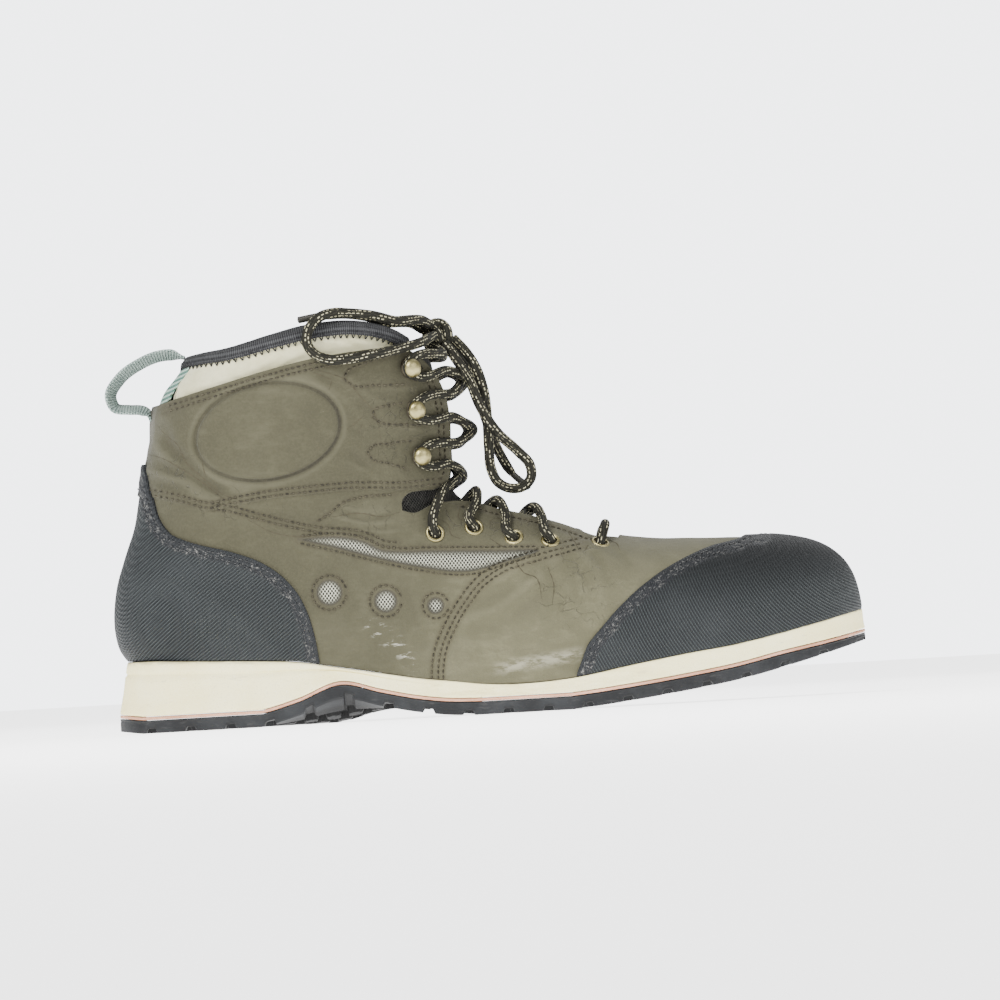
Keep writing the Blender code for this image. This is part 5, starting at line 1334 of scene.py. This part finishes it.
# Painted shadow along the foam's top edge under the upper: patchy with the smear, then a dark line at the
# very top
top_share_for_shadow = foam.attribute("top")
cream = (top_share_for_shadow.within(0.90, 0.985) * smear.within(0.35, 0.6) * 0.6).mix(cream, (0.10, 0.085, 0.06))
cream = top_share_for_shadow.within(0.975, 0.999).mix(cream, (0.012, 0.011, 0.010))
foam = foam.feed(cream, 0.88, cells * 0.7 + smear * 0.6, 0.00025, 0.8)
lines = [foam_line(MEDIAL, *row) for row in FOAM_PROFILE]
lines += [foam_line(LATERAL, *row) for row in FOAM_PROFILE[::-1]]
top_share = np.repeat([row[0] for row in FOAM_PROFILE + FOAM_PROFILE[::-1]], len(STATIONS))
midsole = new_piece("midsole_foam", *sole_rings(lines), foam, values=(("top", top_share),), smooth_angle=60)
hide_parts("midsole")


# Ply: a thin salmon rubber sheet glued between the foam and the outsole. It is cut by hand, so its edge is a
# little ragged.
salmon = Finish("salmon_rubber", 0.75)
ply_tone, ply_grain = salmon.place.noise(55, 5), salmon.place.noise(1300, 3)
salmon = salmon.feed(
    (ply_tone * 0.7 + ply_grain * 0.4).within(0.35, 0.8).mix((0.44, 0.225, 0.14), (0.70, 0.39, 0.27)),
    0.75, ply_grain, 0.0002,
)
ragged = 0.00012 * np.sin(STATIONS * 900) * np.sin(STATIONS * 370 + 1)
lines = []
for side, levels in ((MEDIAL, (0, 0.2, 0.8, 1)), (LATERAL, (1, 0.8, 0.2, 0))):
    for share in levels:
        inset = 0.0003 * (share in (0, 1)) + ragged + 0.0001
        rise = sole_height(STATIONS, side) + tread(STATIONS) + GAP + share * PLY
        lines.append(side_line(side, inset, rise))
ply = new_piece("outsole_ply_edge", *sole_rings(lines), salmon, smooth_angle=70)
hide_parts("outsole_ply")

# Outsole: black moulded rubber. An edge row of blocks on each side is set off by channels from a middle field
# of small six-sided lugs, and the grooves between the edge blocks show as notches from the side.
FIELD_ROW, FIELD_PITCH = 0.0085, 0.0098
STATIONS = LENGTH * np.unique(np.concatenate([
    np.linspace(0, 1, 520), (1 - np.cos(math.pi * np.linspace(0, 1, 90))) / 2,
]).round(6))


def lug_depth(x, across, width):
    """Depth of the grooves: 1 in them and 0 on the lugs, with soft corners."""
    phase = (x / LENGTH * round(LENGTH / LUG_PITCH)) % 1
    edge_gap = ease((phase - LUG_SHARE) / 0.05) * ease((1 - phase) / 0.05)
    y = across * width
    row = np.round(y / FIELD_ROW)
    to_middle = np.abs((x / FIELD_PITCH + 0.5 * (row % 2)) % 1 - 0.5) * FIELD_PITCH
    six = np.maximum(to_middle * 1.1, np.abs(y - row * FIELD_ROW) * 0.9 + to_middle * 0.45)
    field_gap = ease((six - 0.0033) / 0.0007)
    edge = np.abs(across)
    channel = ease((edge - 0.60) / 0.02) * ease((0.68 - edge) / 0.02)
    in_field = 1 - ease((edge - 0.60) / 0.02)
    return np.clip(np.maximum(channel, in_field * field_gap + (1 - in_field) * edge_gap * 0.66), 0, 1)


rubber = Finish("black_rubber", 0.62)
rubber_tone, rubber_grain = rubber.place.noise(60, 5), rubber.place.noise(1800, 4)
rub_marks = rubber.place.noise(300, 6, 0.7, (0.5, 1, 2))
groove_shade_mask = rubber.attribute("groove")
black = rubber_tone.within(0.35, 0.7).mix((0.010, 0.0105, 0.0115), (0.024, 0.0255, 0.0275))
black = (rub_marks.within(0.56, 0.70) * 0.4).mix(black, (0.055, 0.055, 0.054))
# Painted shade in the grooves between the lugs
black = (groove_shade_mask * 0.8).mix(black, (0.006, 0.006, 0.006))
rub_x, rub_y, _ = rubber.place.xyz()
rub_x = rub_x - BACK
# Painted shade under the arch, where the sole lifts off the floor, on all but its outer edge
arch_shade_mask = rub_x.within(0.060, 0.078) * (1 - rub_x.within(0.125, 0.145)) * rub_y.within(-0.034, -0.030)
black = (arch_shade_mask * 0.9).mix(black, (0.005, 0.005, 0.005))
rubber = rubber.feed(black, 0.50 + 0.3 * rubber_tone, rubber_grain * 0.6 + rub_marks * 0.6, 0.00025, 0.9)

across = np.unique(np.concatenate([np.linspace(-1, 1, 84), [-0.995, 0.995, -0.985, 0.985]]))
lines, groove_rows = [], []
edges = [np.column_stack(sole_edge(STATIONS, side, 0 * STATIONS)) for side in BOTH]
width = np.linalg.norm(edges[1] - edges[0], axis=1) / 2
for share in across:
    place = edges[0] + (edges[1] - edges[0]) * (share + 1) / 2
    groove = lug_depth(STATIONS, share, width)
    groove[[0, -1]] = 0
    deep = np.minimum(LUG_DEPTH, 0.6 * tread(STATIONS)) * groove
    corner = 0.0005 * (abs(share) > 0.99)
    lines.append(np.column_stack([place, sole_height(STATIONS, share) + deep + corner]))
    groove_rows.append(groove)
for side, levels in ((MEDIAL, (0.62, 0.8, 0.97, 1)), (LATERAL, (1, 0.97, 0.8, 0.62))):
    for level in levels:
        inset = 0.0002 * (level == 0.8) + 0.0003 * (level == 1)
        x, y = sole_edge(STATIONS, side, inset + 0 * STATIONS)
        lines.append(np.column_stack([x, y, sole_height(STATIONS, side) + tread(STATIONS) * level]))
        groove_rows.append(0 * STATIONS)
for line in lines[1 : len(across)]:
    line[[0, -1]] = lines[0][[0, -1]]
values = (("groove", np.concatenate(groove_rows)),)
outsole = new_piece("outsole_rubber", *sole_rings(lines), rubber, values=values, smooth_angle=35)
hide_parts("outsole")


# Tongue: padded dark textile under the throat, quilted lengthwise, showing in the notch and between the
# strands. Point = the front line's dome at a share and a distance across, sunk under the leather.
TONGUE_WALL = 0.003


def dome(share, y, lift):
    """Point over the closed form's front: share along the front line, y across, lift above it."""
    share, y, lift = np.broadcast_arrays(*(np.asarray(each, float) for each in (share, y, lift)))
    here = front_line(share)
    step = 1e-3
    run = unit(front_line(share + step)[..., :2] - front_line(share - step)[..., :2])
    inward = np.stack([run[..., 1], -run[..., 0]], -1)
    rounding = here[..., 2]
    side = np.where(y < 0, LATERAL, MEDIAL)
    depth = np.zeros_like(y)
    for _ in range(4):
        at = here[..., :2] + inward * depth[..., None]
        width = side_width(at[..., 0], at[..., 1], side)
        spread = np.clip(np.abs(y) / width, 0, 0.98)
        depth = rounding * (1 - (1 - spread**FULLNESS) ** (1 / FULLNESS))
    at = here[..., :2] + inward * depth[..., None]
    near = 1 - depth / rounding
    out_front, out_side = near ** (FULLNESS - 1) / rounding, spread ** (FULLNESS - 1) / width
    size = np.hypot(out_front, out_side)
    out_front, out_side = out_front / size, out_side / size
    plane = at - inward * (out_front * lift)[..., None]
    return np.stack([plane[..., 0], centre_line(at[..., 0]) + y + side * out_side * lift, plane[..., 1]], -1)


def strip_ends(around, along_count):
    """Quads over both ends of a closed strip: each joins two neighbours of one face to those opposite."""
    last = around - 1
    return [
        [row * along_count + end for row in (k, k + 1, last - 1 - k, last - k)]
        for end in (0, along_count - 1) for k in range(last // 2)
    ]


def share_at(x, z):
    """Share of the front line's length that lies nearest to (x, z)."""
    shares = np.linspace(0, 1, 600)
    return shares[np.linalg.norm(front_line(shares)[:, :2] - (x, z), axis=1).argmin()]


textile = Finish("dark_textile", 0.95)
text_x, text_y, text_z = textile.place.xyz()
rows_up = (text_z * 3600).math("SINE") * ((text_x + text_y) * 3600).math("SINE")
fluff = textile.place.noise(260, 4)
weave = (rows_up.within(-0.5, 0.6) * 0.6 + fluff * 0.5).within(0.2, 0.9)
textile_colour = weave.mix((0.016, 0.016, 0.015), (0.060, 0.058, 0.052))
textile = textile.feed(textile_colour, 0.95, rows_up + fluff, 0.0003, 0.8)
TONGUE_LOW, TONGUE_TOP = (0.72, 0.78), (0.443, 1.82)
low_share, high_share = (share_at(*spot) for spot in outline((TONGUE_LOW, TONGUE_TOP)))
down = np.linspace(0, 1, 110)
shares = high_share + (low_share - high_share) * down
reach = np.interp(down, (0, 0.25, 0.45, 0.65, 1), (0.022, 0.030, 0.038, 0.030, 0.017))
spread = np.linspace(-1, 1, 61)
spread = np.sign(spread) * np.abs(spread) ** 1.15
depth = np.interp(down, (0, 0.7, 1), (0.0064, 0.0052, WALL + 4 * GAP))
quilt = 0.0004 * np.cos(spread[None, :] * 9) * ease(down / 0.05)[:, None]
quilt = quilt + 0.0003 * np.sin(down * 60)[:, None]
edge_round = 0.0012 * (np.abs(spread[None, :]) ** 8 + (1 - ease(down / 0.03))[:, None])
outer = dome(shares[:, None], reach[:, None] * spread, -depth[:, None] + quilt - edge_round)
back_face = dome(shares[:, None], reach[:, None] * spread, -(depth + TONGUE_WALL)[:, None])
tongue_points = np.concatenate([outer, back_face[:, ::-1]], 1).transpose(1, 0, 2)
tongue_faces = grid_faces(*tongue_points.shape[:2], closed=True)
end_faces = strip_ends(*tongue_points.shape[:2])
tongue = new_piece("tongue_pad", tongue_points.reshape(-1, 3), np.vstack([tongue_faces, end_faces]), textile)
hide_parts("tongue")


# Cuff: soft cream nubuck that comes out of the leather's top edge and swells up to the binding, with small
# wrinkles across it and a grey-green strip of the pull loop's webbing down its back.
CUFF_TOP = (
    (0.112, 1.870), (0.173, 1.885), (0.227, 1.925), (0.282, 1.965), (0.336, 1.980), (0.376, 1.958),
    (0.400, 1.925), (0.417, 1.885),
)
CUFF_TUCK, CUFF_WALL, CUFF_FACE = 0.0075, 0.0034, WALL + 2.5 * GAP
BINDING, BINDING_DROP, BACK_TAPE_REACH = 0.0013, 0.0045, 0.0042


def collar_sheet(count, rows):
    """Sheet round the collar from one flap to the other, from below the leather's edge to the cuff's top."""
    steps = from_heel(count)
    top, low = along(outline(CUFF_TOP), steps), along(outline(LEATHER_TOP), steps)
    low[:, 1] -= CUFF_TUCK
    for edge in (top, low):
        edge[0, 0] = heel_back(edge[0, 1])
    share = np.linspace(0, 1, rows)[None, :, None]
    grid = low[:, None] * (1 - share) + top[:, None] * share
    return both_sides([(grid, True, None, False)])


soft = Finish("cream_nubuck", 0.92, Sheen_Weight=0.3, Sheen_Roughness=0.5)
soft_cloud, soft_grain = soft.place.noise(45, 5), soft.place.noise(2200, 4)
soft_mark = soft.place.noise(320, 5, 0.7)
pale_face = (soft_cloud * 0.7 + soft_mark * 0.3).within(0.35, 0.7).mix((0.50, 0.47, 0.28), (0.66, 0.63, 0.42))
pale_face = (soft_mark.within(0.62, 0.74) * 0.5).mix(pale_face, (0.30, 0.26, 0.16))
soft = soft.feed(pale_face, 0.92, soft_grain * 0.6 + soft_mark * 0.5, 0.0003, 0.8)
cuff_points, cuff_faces, cuff_normals, cuff_place, _ = collar_sheet(170, 26)
leather_z = np.interp(cuff_place[:, 0], TOP_LINE[:, 0], TOP_LINE[:, 1])
rise = cuff_place[:, 1] - leather_z
wrinkles = np.sin(cuff_place[:, 0] * 620 + 3 * np.sin(cuff_place[:, 1] * 500))
swell = 0.0007 * ease(rise / 0.004) + 0.00018 * wrinkles
outer = cuff_points + cuff_normals * (-CUFF_FACE + swell * (rise > 0))[:, None]
cuff_mesh, cuff_mesh_faces, _ = with_rim(outer, cuff_faces, cuff_normals, ((0, -0.0008), (0, -CUFF_WALL)))
back_points = cuff_points - cuff_normals * (CUFF_FACE + CUFF_WALL)
cuff_all = np.vstack([cuff_mesh, back_points])
cuff_all_faces = np.vstack([cuff_mesh_faces, cuff_faces[:, ::-1] + len(cuff_mesh)])
cuff = new_piece("cuff_nubuck", cuff_all, cuff_all_faces, soft)
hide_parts("cuff")

strip_z = np.linspace(TOP_LINE[0, 1] - 0.001, height(CUFF_TOP[0][1]) - 0.004, 24)
strip_back = heel_back(strip_z)
across_strip = np.linspace(0, BACK_TAPE_REACH, 7)
strip_patch = np.stack([np.column_stack([strip_back + wide, strip_z]) for wide in across_strip])
back_points, back_faces, back_normals, _, _ = both_sides([(strip_patch, True, None, False)])
back_points = back_points + back_normals * (0.0011 - CUFF_FACE)
BACK_TAPE_RIM = ((0.0001, -0.0003), (0, -0.0010))
back_mesh, back_mesh_faces, _ = with_rim(back_points, back_faces, back_normals, BACK_TAPE_RIM)
teal = Finish("teal_tape", 0.9)
teal_x, _, teal_z = teal.place.xyz()
teal_rows = ((teal_z - teal_x * 0.3) * 3100).math("SINE")
teal_colour = teal_rows.within(-0.4, 0.6).mix((0.09, 0.17, 0.14), (0.36, 0.47, 0.40))
teal = teal.feed(teal_colour, 0.9, teal_rows, 0.0003)
back_tape = new_piece("cuff_back_tape", back_mesh, back_mesh_faces, teal)


# Collar binding: dark grey knitted tape rolled over the cuff's top edge and sewn through with a black
# zigzag whose lower points reach into the cream.
def collar_path(count):
    """The cuff's top edge from the outer flap round the heel to the inner one, with its outward normals."""
    top = along(outline(CUFF_TOP), from_heel(count))
    top[0, 0] = heel_back(top[0, 1])
    halves, outs = [], []
    for side in BOTH:
        line = skin(top[:, 0], top[:, 1], side)
        line[0, 1] = 0
        _, normal = on_form(top, side, np.zeros(count))
        normal[0] = unit(normal[0] * (1, 0, 1))
        halves.append(line)
        outs.append(normal)
    path = np.vstack([halves[0][::-1], halves[1][1:]])
    out = np.vstack([outs[0][::-1], outs[1][1:]])
    for _ in range(6):
        out[1:-1] = unit(out[1:-1] + 0.5 * (out[:-2] + out[2:]))
    return path, out


rim_path, rim_out = collar_path(150)
rim_run = unit(np.gradient(rim_path, axis=0))
rim_up = np.cross(rim_run, rim_out)
rim_up = unit(rim_up * np.sign(rim_up[:, 2:3]))
outer_wall, inner_wall = -CUFF_FACE + 2 * GAP + 0.0004, -CUFF_FACE - CUFF_WALL - 2 * GAP
turn = np.linspace(0, math.pi, 15)
middle, half = (outer_wall + inner_wall) / 2, (outer_wall - inner_wall) / 2 + BINDING
section = [(outer_wall, -BINDING_DROP), (outer_wall + BINDING * 0.7, -BINDING_DROP - 0.0002)]
section += [(outer_wall + BINDING, -BINDING_DROP + 0.0008)]
section += [(middle + half * math.cos(t), -0.0008 + (0.0008 + 2 * GAP + BINDING) * math.sin(t)) for t in turn]
section += [(inner_wall - BINDING, -BINDING_DROP), (inner_wall, -BINDING_DROP)]
tape = Finish("dark_tape", 0.9)
tape_turn, tape_run, _ = tape.uv.xyz()
knit_rows = (tape_run * 6500).math("SINE") * 0.6 + (tape_turn * 150).math("SINE") * 0.5
tape_noise = tape.place.noise(200, 4)
tape_light = (knit_rows.within(-0.7, 0.9) * 0.6 + tape_noise * 0.5).within(0.2, 0.9)
tape_colour = tape_light.mix((0.011, 0.0113, 0.012), (0.060, 0.061, 0.063))
tape = tape.feed(tape_colour, 0.9, knit_rows + tape_noise * 0.8, 0.00025, 0.8)
roll = 1 + 0.05 * np.sin(np.linspace(0, 70, len(rim_path))) * np.sin(np.linspace(0, 23, len(rim_path)))
rings = np.stack([
    rim_path + rim_out * (middle + (out - middle) * roll[:, None]) + rim_up * up for out, up in section
])
ring_run = np.concatenate([[0], np.cumsum(np.linalg.norm(np.diff(rim_path, axis=0), axis=1))])
tape_uv = np.stack(np.broadcast_arrays(np.linspace(0, 1, len(section))[:, None], ring_run[None, :]), -1)
binding = new_piece(
    "collar_binding_tape", rings.reshape(-1, 3), grid_faces(*rings.shape[:2], closed=True), tape,
    tape_uv.reshape(-1, 2),
)
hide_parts("collar_binding")

# Zigzag: its upper points go through the binding, and its lower ones into the cuff below it
ZIG_PITCH, ZIG_HIGH, ZIG_LOW, ZIG_THREAD = 0.0031, -0.0028, -0.0062, 0.00026
zig_count = int(ring_run[-1] / ZIG_PITCH)
zig_at = np.linspace(0.01, 0.99, 2 * zig_count) * ring_run[-1]
upper_point = np.arange(2 * zig_count) % 2 == 0
zig_drop = np.where(upper_point, ZIG_HIGH, ZIG_LOW)
zig_out = np.where(upper_point, outer_wall + BINDING + 0.0002, -CUFF_FACE + 0.0010)
zig_place, zig_up, zig_normal = (
    np.column_stack([np.interp(zig_at, ring_run, column) for column in rows.T])
    for rows in (rim_path, rim_up, rim_out)
)
zig_points = zig_place + zig_up * zig_drop[:, None] + zig_normal * zig_out[:, None]
zigzag = []
for first, last in zip(zig_points[:-1], zig_points[1:]):
    line = first + (last - first) * np.linspace(0.04, 0.96, 4)[:, None]
    zigzag.append(tube_mesh(line, ZIG_THREAD, 6))
black_thread = thread_finish("black_thread", (0.008, 0.008, 0.009), (0.030, 0.030, 0.032))
zig = new_piece("binding_zigzag", *join_meshes(zigzag)[:2], black_thread, smooth_angle=80)


# Pull loop: grey-green woven webbing, sewn in at both ends. It leaves the collar's back, bends over and comes
# down to the leather.
PULL_LOOP = (
    (0.1129, 1.865), (0.0966, 1.885), (0.0798, 1.883), (0.0525, 1.845), (0.0245, 1.7675),
    (0.0113, 1.6775), (0.0166, 1.616), (0.0356, 1.600), (0.0525, 1.592), (0.0615, 1.570),
    (0.0640, 1.530),
)
WEBBING_WIDTH, WEBBING, LOOP_LEAN = 0.013, 0.0014, math.radians(17)
PICK_PITCH, WARP_PITCH = 0.0012, 0.0016
loop_line = even(outline(PULL_LOOP), 0.0006)
loop_run = unit(np.gradient(loop_line, axis=0))
loop_out = np.column_stack([loop_run[:, 1], -loop_run[:, 0]])
# Half of the webbing's section: shares of half its thickness and half its width
HALF_SECTION = ((1, -0.8), (1, 0), (1, 0.8), (0.86, 0.93), (0.45, 1), (-0.45, 1), (-0.86, 0.93))
profile = [(a * WEBBING / 2, b * WEBBING_WIDTH / 2) for a, b in HALF_SECTION]
profile += [(-a, -b) for a, b in profile]
# The loop leans over to the outer side between its two sewn ends
share = np.linspace(0, 1, len(loop_line))
lean = LOOP_LEAN * ease(share / 0.10) * ease((1 - share) / 0.10)
strip = []
for a, b in profile:
    out = a * np.cos(lean) - b * np.sin(lean)
    across = a * np.sin(lean) + b * np.cos(lean)
    plane = loop_line + loop_out * out[:, None]
    strip.append(np.column_stack([plane[:, 0], across, plane[:, 1]]))
strip = np.stack(strip)
webbing = Finish("grey_green_webbing", 0.88)
web_across, web_run, _ = webbing.uv.xyz()
picks = (web_run * (2 * math.pi / PICK_PITCH)).math("SINE")
pick = (web_run * (1 / PICK_PITCH)).math("FLOOR")
warps = (web_across * (2 * math.pi / WARP_PITCH) + pick * math.pi).math("SINE")
web_tone = webbing.place.noise(120, 4)
web_light = (warps * 0.3 + picks * 0.25 + web_tone).within(0.1, 0.9)
web_colour = web_light.mix((0.13, 0.18, 0.165), (0.40, 0.48, 0.43))
webbing = webbing.feed(web_colour, 0.88, warps + picks, 0.0003, 0.9)
loop_length = np.concatenate([[0], np.cumsum(np.linalg.norm(np.diff(loop_line, axis=0), axis=1))])
strip_uv = np.stack(np.broadcast_arrays(np.array([b for _, b in profile])[:, None], loop_length[None, :]), -1)
strip_faces = np.vstack([grid_faces(*strip.shape[:2], closed=True), strip_ends(*strip.shape[:2])])
strip_uv = strip_uv.reshape(-1, 2)
pull_loop = new_piece("pull_loop_webbing", strip.reshape(-1, 3), strip_faces, webbing, strip_uv)
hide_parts("pull_loop")


# Eyelets and hooks: turned antique brass. Five thin rolled rims on each side of the vamp, and three domed
# hooks up each flap, each on a dark washer.
EYELETS = ((0.652, 0.765), (0.586, 0.788), (0.538, 0.812), (0.486, 0.869), (0.434, 0.852))
HOOKS = ((0.420, 1.250), (0.416, 1.500), (0.411, 1.728))
EYELET_RADIUS, EYELET_HOLE, EYELET_HEIGHT = 0.0042, 0.0025, 0.0011
HOOK_STEM, HOOK_HEAD, HOOK_HEIGHT, HOOK_LEAN = 0.0019, 0.0041, 0.0088, 0.0036
brass = Finish("antique_brass", 0.3, 1.0)
tarnish, brass_scratch = brass.place.noise(420, 5, 0.65), brass.place.noise(2600, 4, 0.7)
brass = brass.feed(
    (tarnish * 0.8 + brass_scratch * 0.3).within(0.30, 0.85).mix((0.24, 0.205, 0.090), (0.46, 0.405, 0.20)),
    0.22 + 0.30 * tarnish, brass_scratch, 0.00008,
)
dark_metal = Finish("dark_washer", 0.5, 0.8)
dark_tone = dark_metal.place.noise(500, 3)
dark_colour = dark_tone.mix((0.030, 0.026, 0.018), (0.085, 0.072, 0.045))
dark_metal = dark_metal.feed(dark_colour, 0.5, dark_tone, 0.0001)
hole_finish = Finish("eyelet_shade", 0.95)
hole_tone = hole_finish.place.noise(500, 2)
hole_finish = hole_finish.feed(hole_tone.mix((0.006, 0.006, 0.005), (0.014, 0.013, 0.011)))


def spot_frame(spot, side, lift=0.0):
    """Place of a piece of trim on the leather, its outward normal, and the ways up and off the throat."""
    place = outline([spot])
    at, normal = on_form(place, side, [lift])
    at, normal = at[0], normal[0]
    share = share_at(*place[0])
    run = front_line(share - 1e-3) - front_line(share + 1e-3)
    up = np.array([run[0], 0, run[1]])
    up = unit(up - normal * (up @ normal))
    away = np.cross(normal, up)
    return at, normal, up, away * np.sign(away[1] * side)


def turned(profile, at, normal, up, steps=28, lean=None):
    """A (radius, height) profile turned round the normal: point = at + radius * (cos, sin) + normal * height.

    A lean moves the rings above half the hook's height sideways by that vector.
    """
    side = np.cross(normal, up)
    turn = np.linspace(0, 2 * math.pi, steps + 1)
    radius, rise = np.array(profile).T
    ring = np.cos(turn)[None, :, None] * up + np.sin(turn)[None, :, None] * side
    points = at + radius[:, None, None] * ring + rise[:, None, None] * normal
    if lean is not None:
        points = points + ease((rise - 0.0030) / 0.0035)[:, None, None] * lean
    points = points.reshape(-1, 3)
    return points, grid_faces(len(radius), steps + 1)[:, ::-1], np.zeros((len(points), 2))


roll_turn = np.linspace(-0.25 * math.pi, 1.15 * math.pi, 11)
EYELET_PROFILE = [(EYELET_RADIUS + 0.0001, -0.0003)]
EYELET_MIDDLE = (EYELET_RADIUS + EYELET_HOLE) / 2
for t in roll_turn:
    rise = 0.0001 + EYELET_HEIGHT * 0.75 * max(math.sin(t), -0.3)
    EYELET_PROFILE.append((EYELET_MIDDLE + 0.00085 * math.cos(t), rise))
EYELET_PROFILE += [(EYELET_HOLE, -0.0004), (EYELET_HOLE, -0.0022)]
head_turn = np.linspace(0, math.pi / 2, 9)
foot = PANEL_STEP + 2 * GAP
HOOK_PROFILE = [(0.0029, foot), (0.0024, foot + 0.0009)]
HOOK_PROFILE += [(HOOK_STEM, foot + 0.0015), (HOOK_STEM, foot + 0.55 * HOOK_HEIGHT)]
HOOK_PROFILE += [(HOOK_HEAD * 0.8, foot + 0.60 * HOOK_HEIGHT), (HOOK_HEAD, foot + 0.66 * HOOK_HEIGHT)]
for t in head_turn[:-1]:
    HOOK_PROFILE.append((HOOK_HEAD * math.cos(t), foot + (0.69 + 0.31 * math.sin(t)) * HOOK_HEIGHT))
HOOK_PROFILE += [(1e-5, foot + HOOK_HEIGHT)]
WASHER = [(0.0047, foot - 0.0009), (0.0047, foot + 0.0001), (0.0043, foot + 0.0005), (0.0028, foot + 0.0006)]
for side, word in ((LATERAL, "lateral"), (MEDIAL, "medial")):
    for k, spot in enumerate(EYELETS, 1):
        at, normal, up, away = spot_frame(spot, side)
        rim_piece = new_piece(f"brass_eyelet_{word}_{k}", *turned(EYELET_PROFILE, at, normal, up)[:2], brass)
        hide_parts(f"eyelet_{word}_{k}")
    for k, spot in enumerate(HOOKS, 1):
        at, normal, up, away = spot_frame(spot, side)
        hook_points, hook_faces, _ = turned(HOOK_PROFILE, at, normal, up, lean=away * HOOK_LEAN)
        hook = new_piece(f"brass_hook_{word}_{k}", hook_points, hook_faces, brass)
        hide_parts(f"hook_{word}_{k}")
# Each eyelet's hole is a flat dark disc over the leather: painted shade where the hole would be
HOLE = [(0.0029, 0.00015), (1e-5, 0.00016)]
holes = [turned(HOLE, *spot_frame(spot, side)[:3], 20) for side in BOTH for spot in EYELETS]
hole_piece = new_piece("eyelet_hole_shade_discs", *join_meshes(holes)[:2], hole_finish)
washers = [turned(WASHER, *spot_frame(spot, side)[:3]) for side in BOTH for spot in HOOKS]
washer_piece = new_piece("hook_washers", *join_meshes(washers)[:2], dark_metal)


# Lacing: the tied part of the cord. A bar crosses the vamp at the lowest pair. Each half then comes out of an
# eyelet, goes over its own edge, across the tongue, under the far edge and out of the next eyelet. Higher up
# it runs round the hooks' stems to the knot.
def strand(first):
    """Route of one half of the lace: out of each eyelet, over the edge and tongue, and round the hooks."""
    side, route = first, []
    at, normal, up, away = spot_frame(EYELETS[0], side)
    bar_share = share_at(*outline(EYELETS[:1])[0])
    half = at[1] - centre_line(at[0])
    bar = [-0.3, 0.35] if first > 0 else [-0.3]
    route += [dome(bar_share, share * abs(half) * side, LACE / 2 + 0.0004) for share in bar]
    route += [at + normal * 0.0030 - away * 0.0018, at + normal * 0.0012, at - normal * 0.0030]
    for k in range(1, len(EYELETS) + 1):
        old_at = at
        side = -side
        spot = EYELETS[k] if k < len(EYELETS) else HOOKS[0]
        at, normal, up, away = spot_frame(spot, side)
        low_share, next_share = share_at(*outline([EYELETS[k - 1]])[0]), share_at(*outline([spot])[0])
        low_y, next_y = old_at[1] - centre_line(old_at[0]), at[1] - centre_line(at[0])
        if k == 1:
            passes = ((0.30, 0.30, -0.0052), (0.5, 0.5, -0.0040), (0.72, 0.72, -0.0052))
        elif k < len(EYELETS):
            passes = ((0.36, 0.16, LACE / 2 + 0.0004), (0.56, 0.30, LACE / 2 + 0.0002))
            passes += ((0.74, 0.5, 0.0 if first > 0 else -0.0020), (0.92, 0.74, -0.0040))
        else:
            passes = ((0.22, 0.12, LACE / 2 + 0.0004), (0.45, 0.5, 0.0010 if first > 0 else -0.0015))
            passes += ((0.80, 0.84, LACE / 2),)
        for ahead, over, lift in passes:
            place = low_share + (next_share - low_share) * ahead
            route.append(dome(place, low_y + (next_y - low_y) * over, lift))
        if k < len(EYELETS):
            route += [at - normal * 0.0048 - away * 0.0020, at - normal * 0.0022, at + normal * 0.0010]
            route += [at + normal * 0.0028 - away * 0.0006 + up * 0.0022]
    for k in range(len(HOOKS)):
        reach = HOOK_STEM + LACE / 2 - 0.0004
        lift = foot + 0.0006 + LACE / 2
        for turn in (-80, -35, 0, 35, 80):
            around = up * math.sin(math.radians(turn)) + away * math.cos(math.radians(turn))
            route.append(at + normal * (lift + 0.0004 * abs(turn) / 80) + reach * around)
        low_share, low_y = share_at(*outline([HOOKS[k]])[0]), at[1] - centre_line(at[0])
        side = -side
        if k + 1 < len(HOOKS):
            at, normal, up, away = spot_frame(HOOKS[k + 1], side)
            next_share, next_y = share_at(*outline([HOOKS[k + 1]])[0]), at[1] - centre_line(at[0])
            for t in (0.26, 0.5, 0.74):
                lift = LACE / 2 + 0.0014 + (0.0034 if (first > 0) == (t == 0.5) else 0.0010) * (t == 0.5)
                place = low_share + (next_share - low_share) * t
                route.append(dome(place, low_y + (next_y - low_y) * t, lift))
    side = -side
    route.append(dome(share_at(*outline([(0.452, 1.80)])[0]), side * 0.0165, LACE / 2 + 0.0016))
    route.append(np.array(KNOT_CENTRE) + np.array(KNOT) * (-0.65, 0.75 * side, -0.6))
    return even(np.array(route), 0.0010)


lacing = [tube_mesh(strand(side), LACE / 2 - 0.0001) for side in BOTH]
lace_points, lace_faces, lace_uv = join_meshes(lacing)
lace_piece = new_piece("lace_through_eyelets", lace_points, lace_faces, lace_finish, lace_uv)
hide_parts("lace_crossings")


# Insole: a flat foam plate that lies inside on the midsole, under a dark knitted cover. It is the solid
# itself, in the lining's knit.
insole = bpy.data.objects["insole"]
insole.data.materials.clear()
insole.data.materials.append(knit)
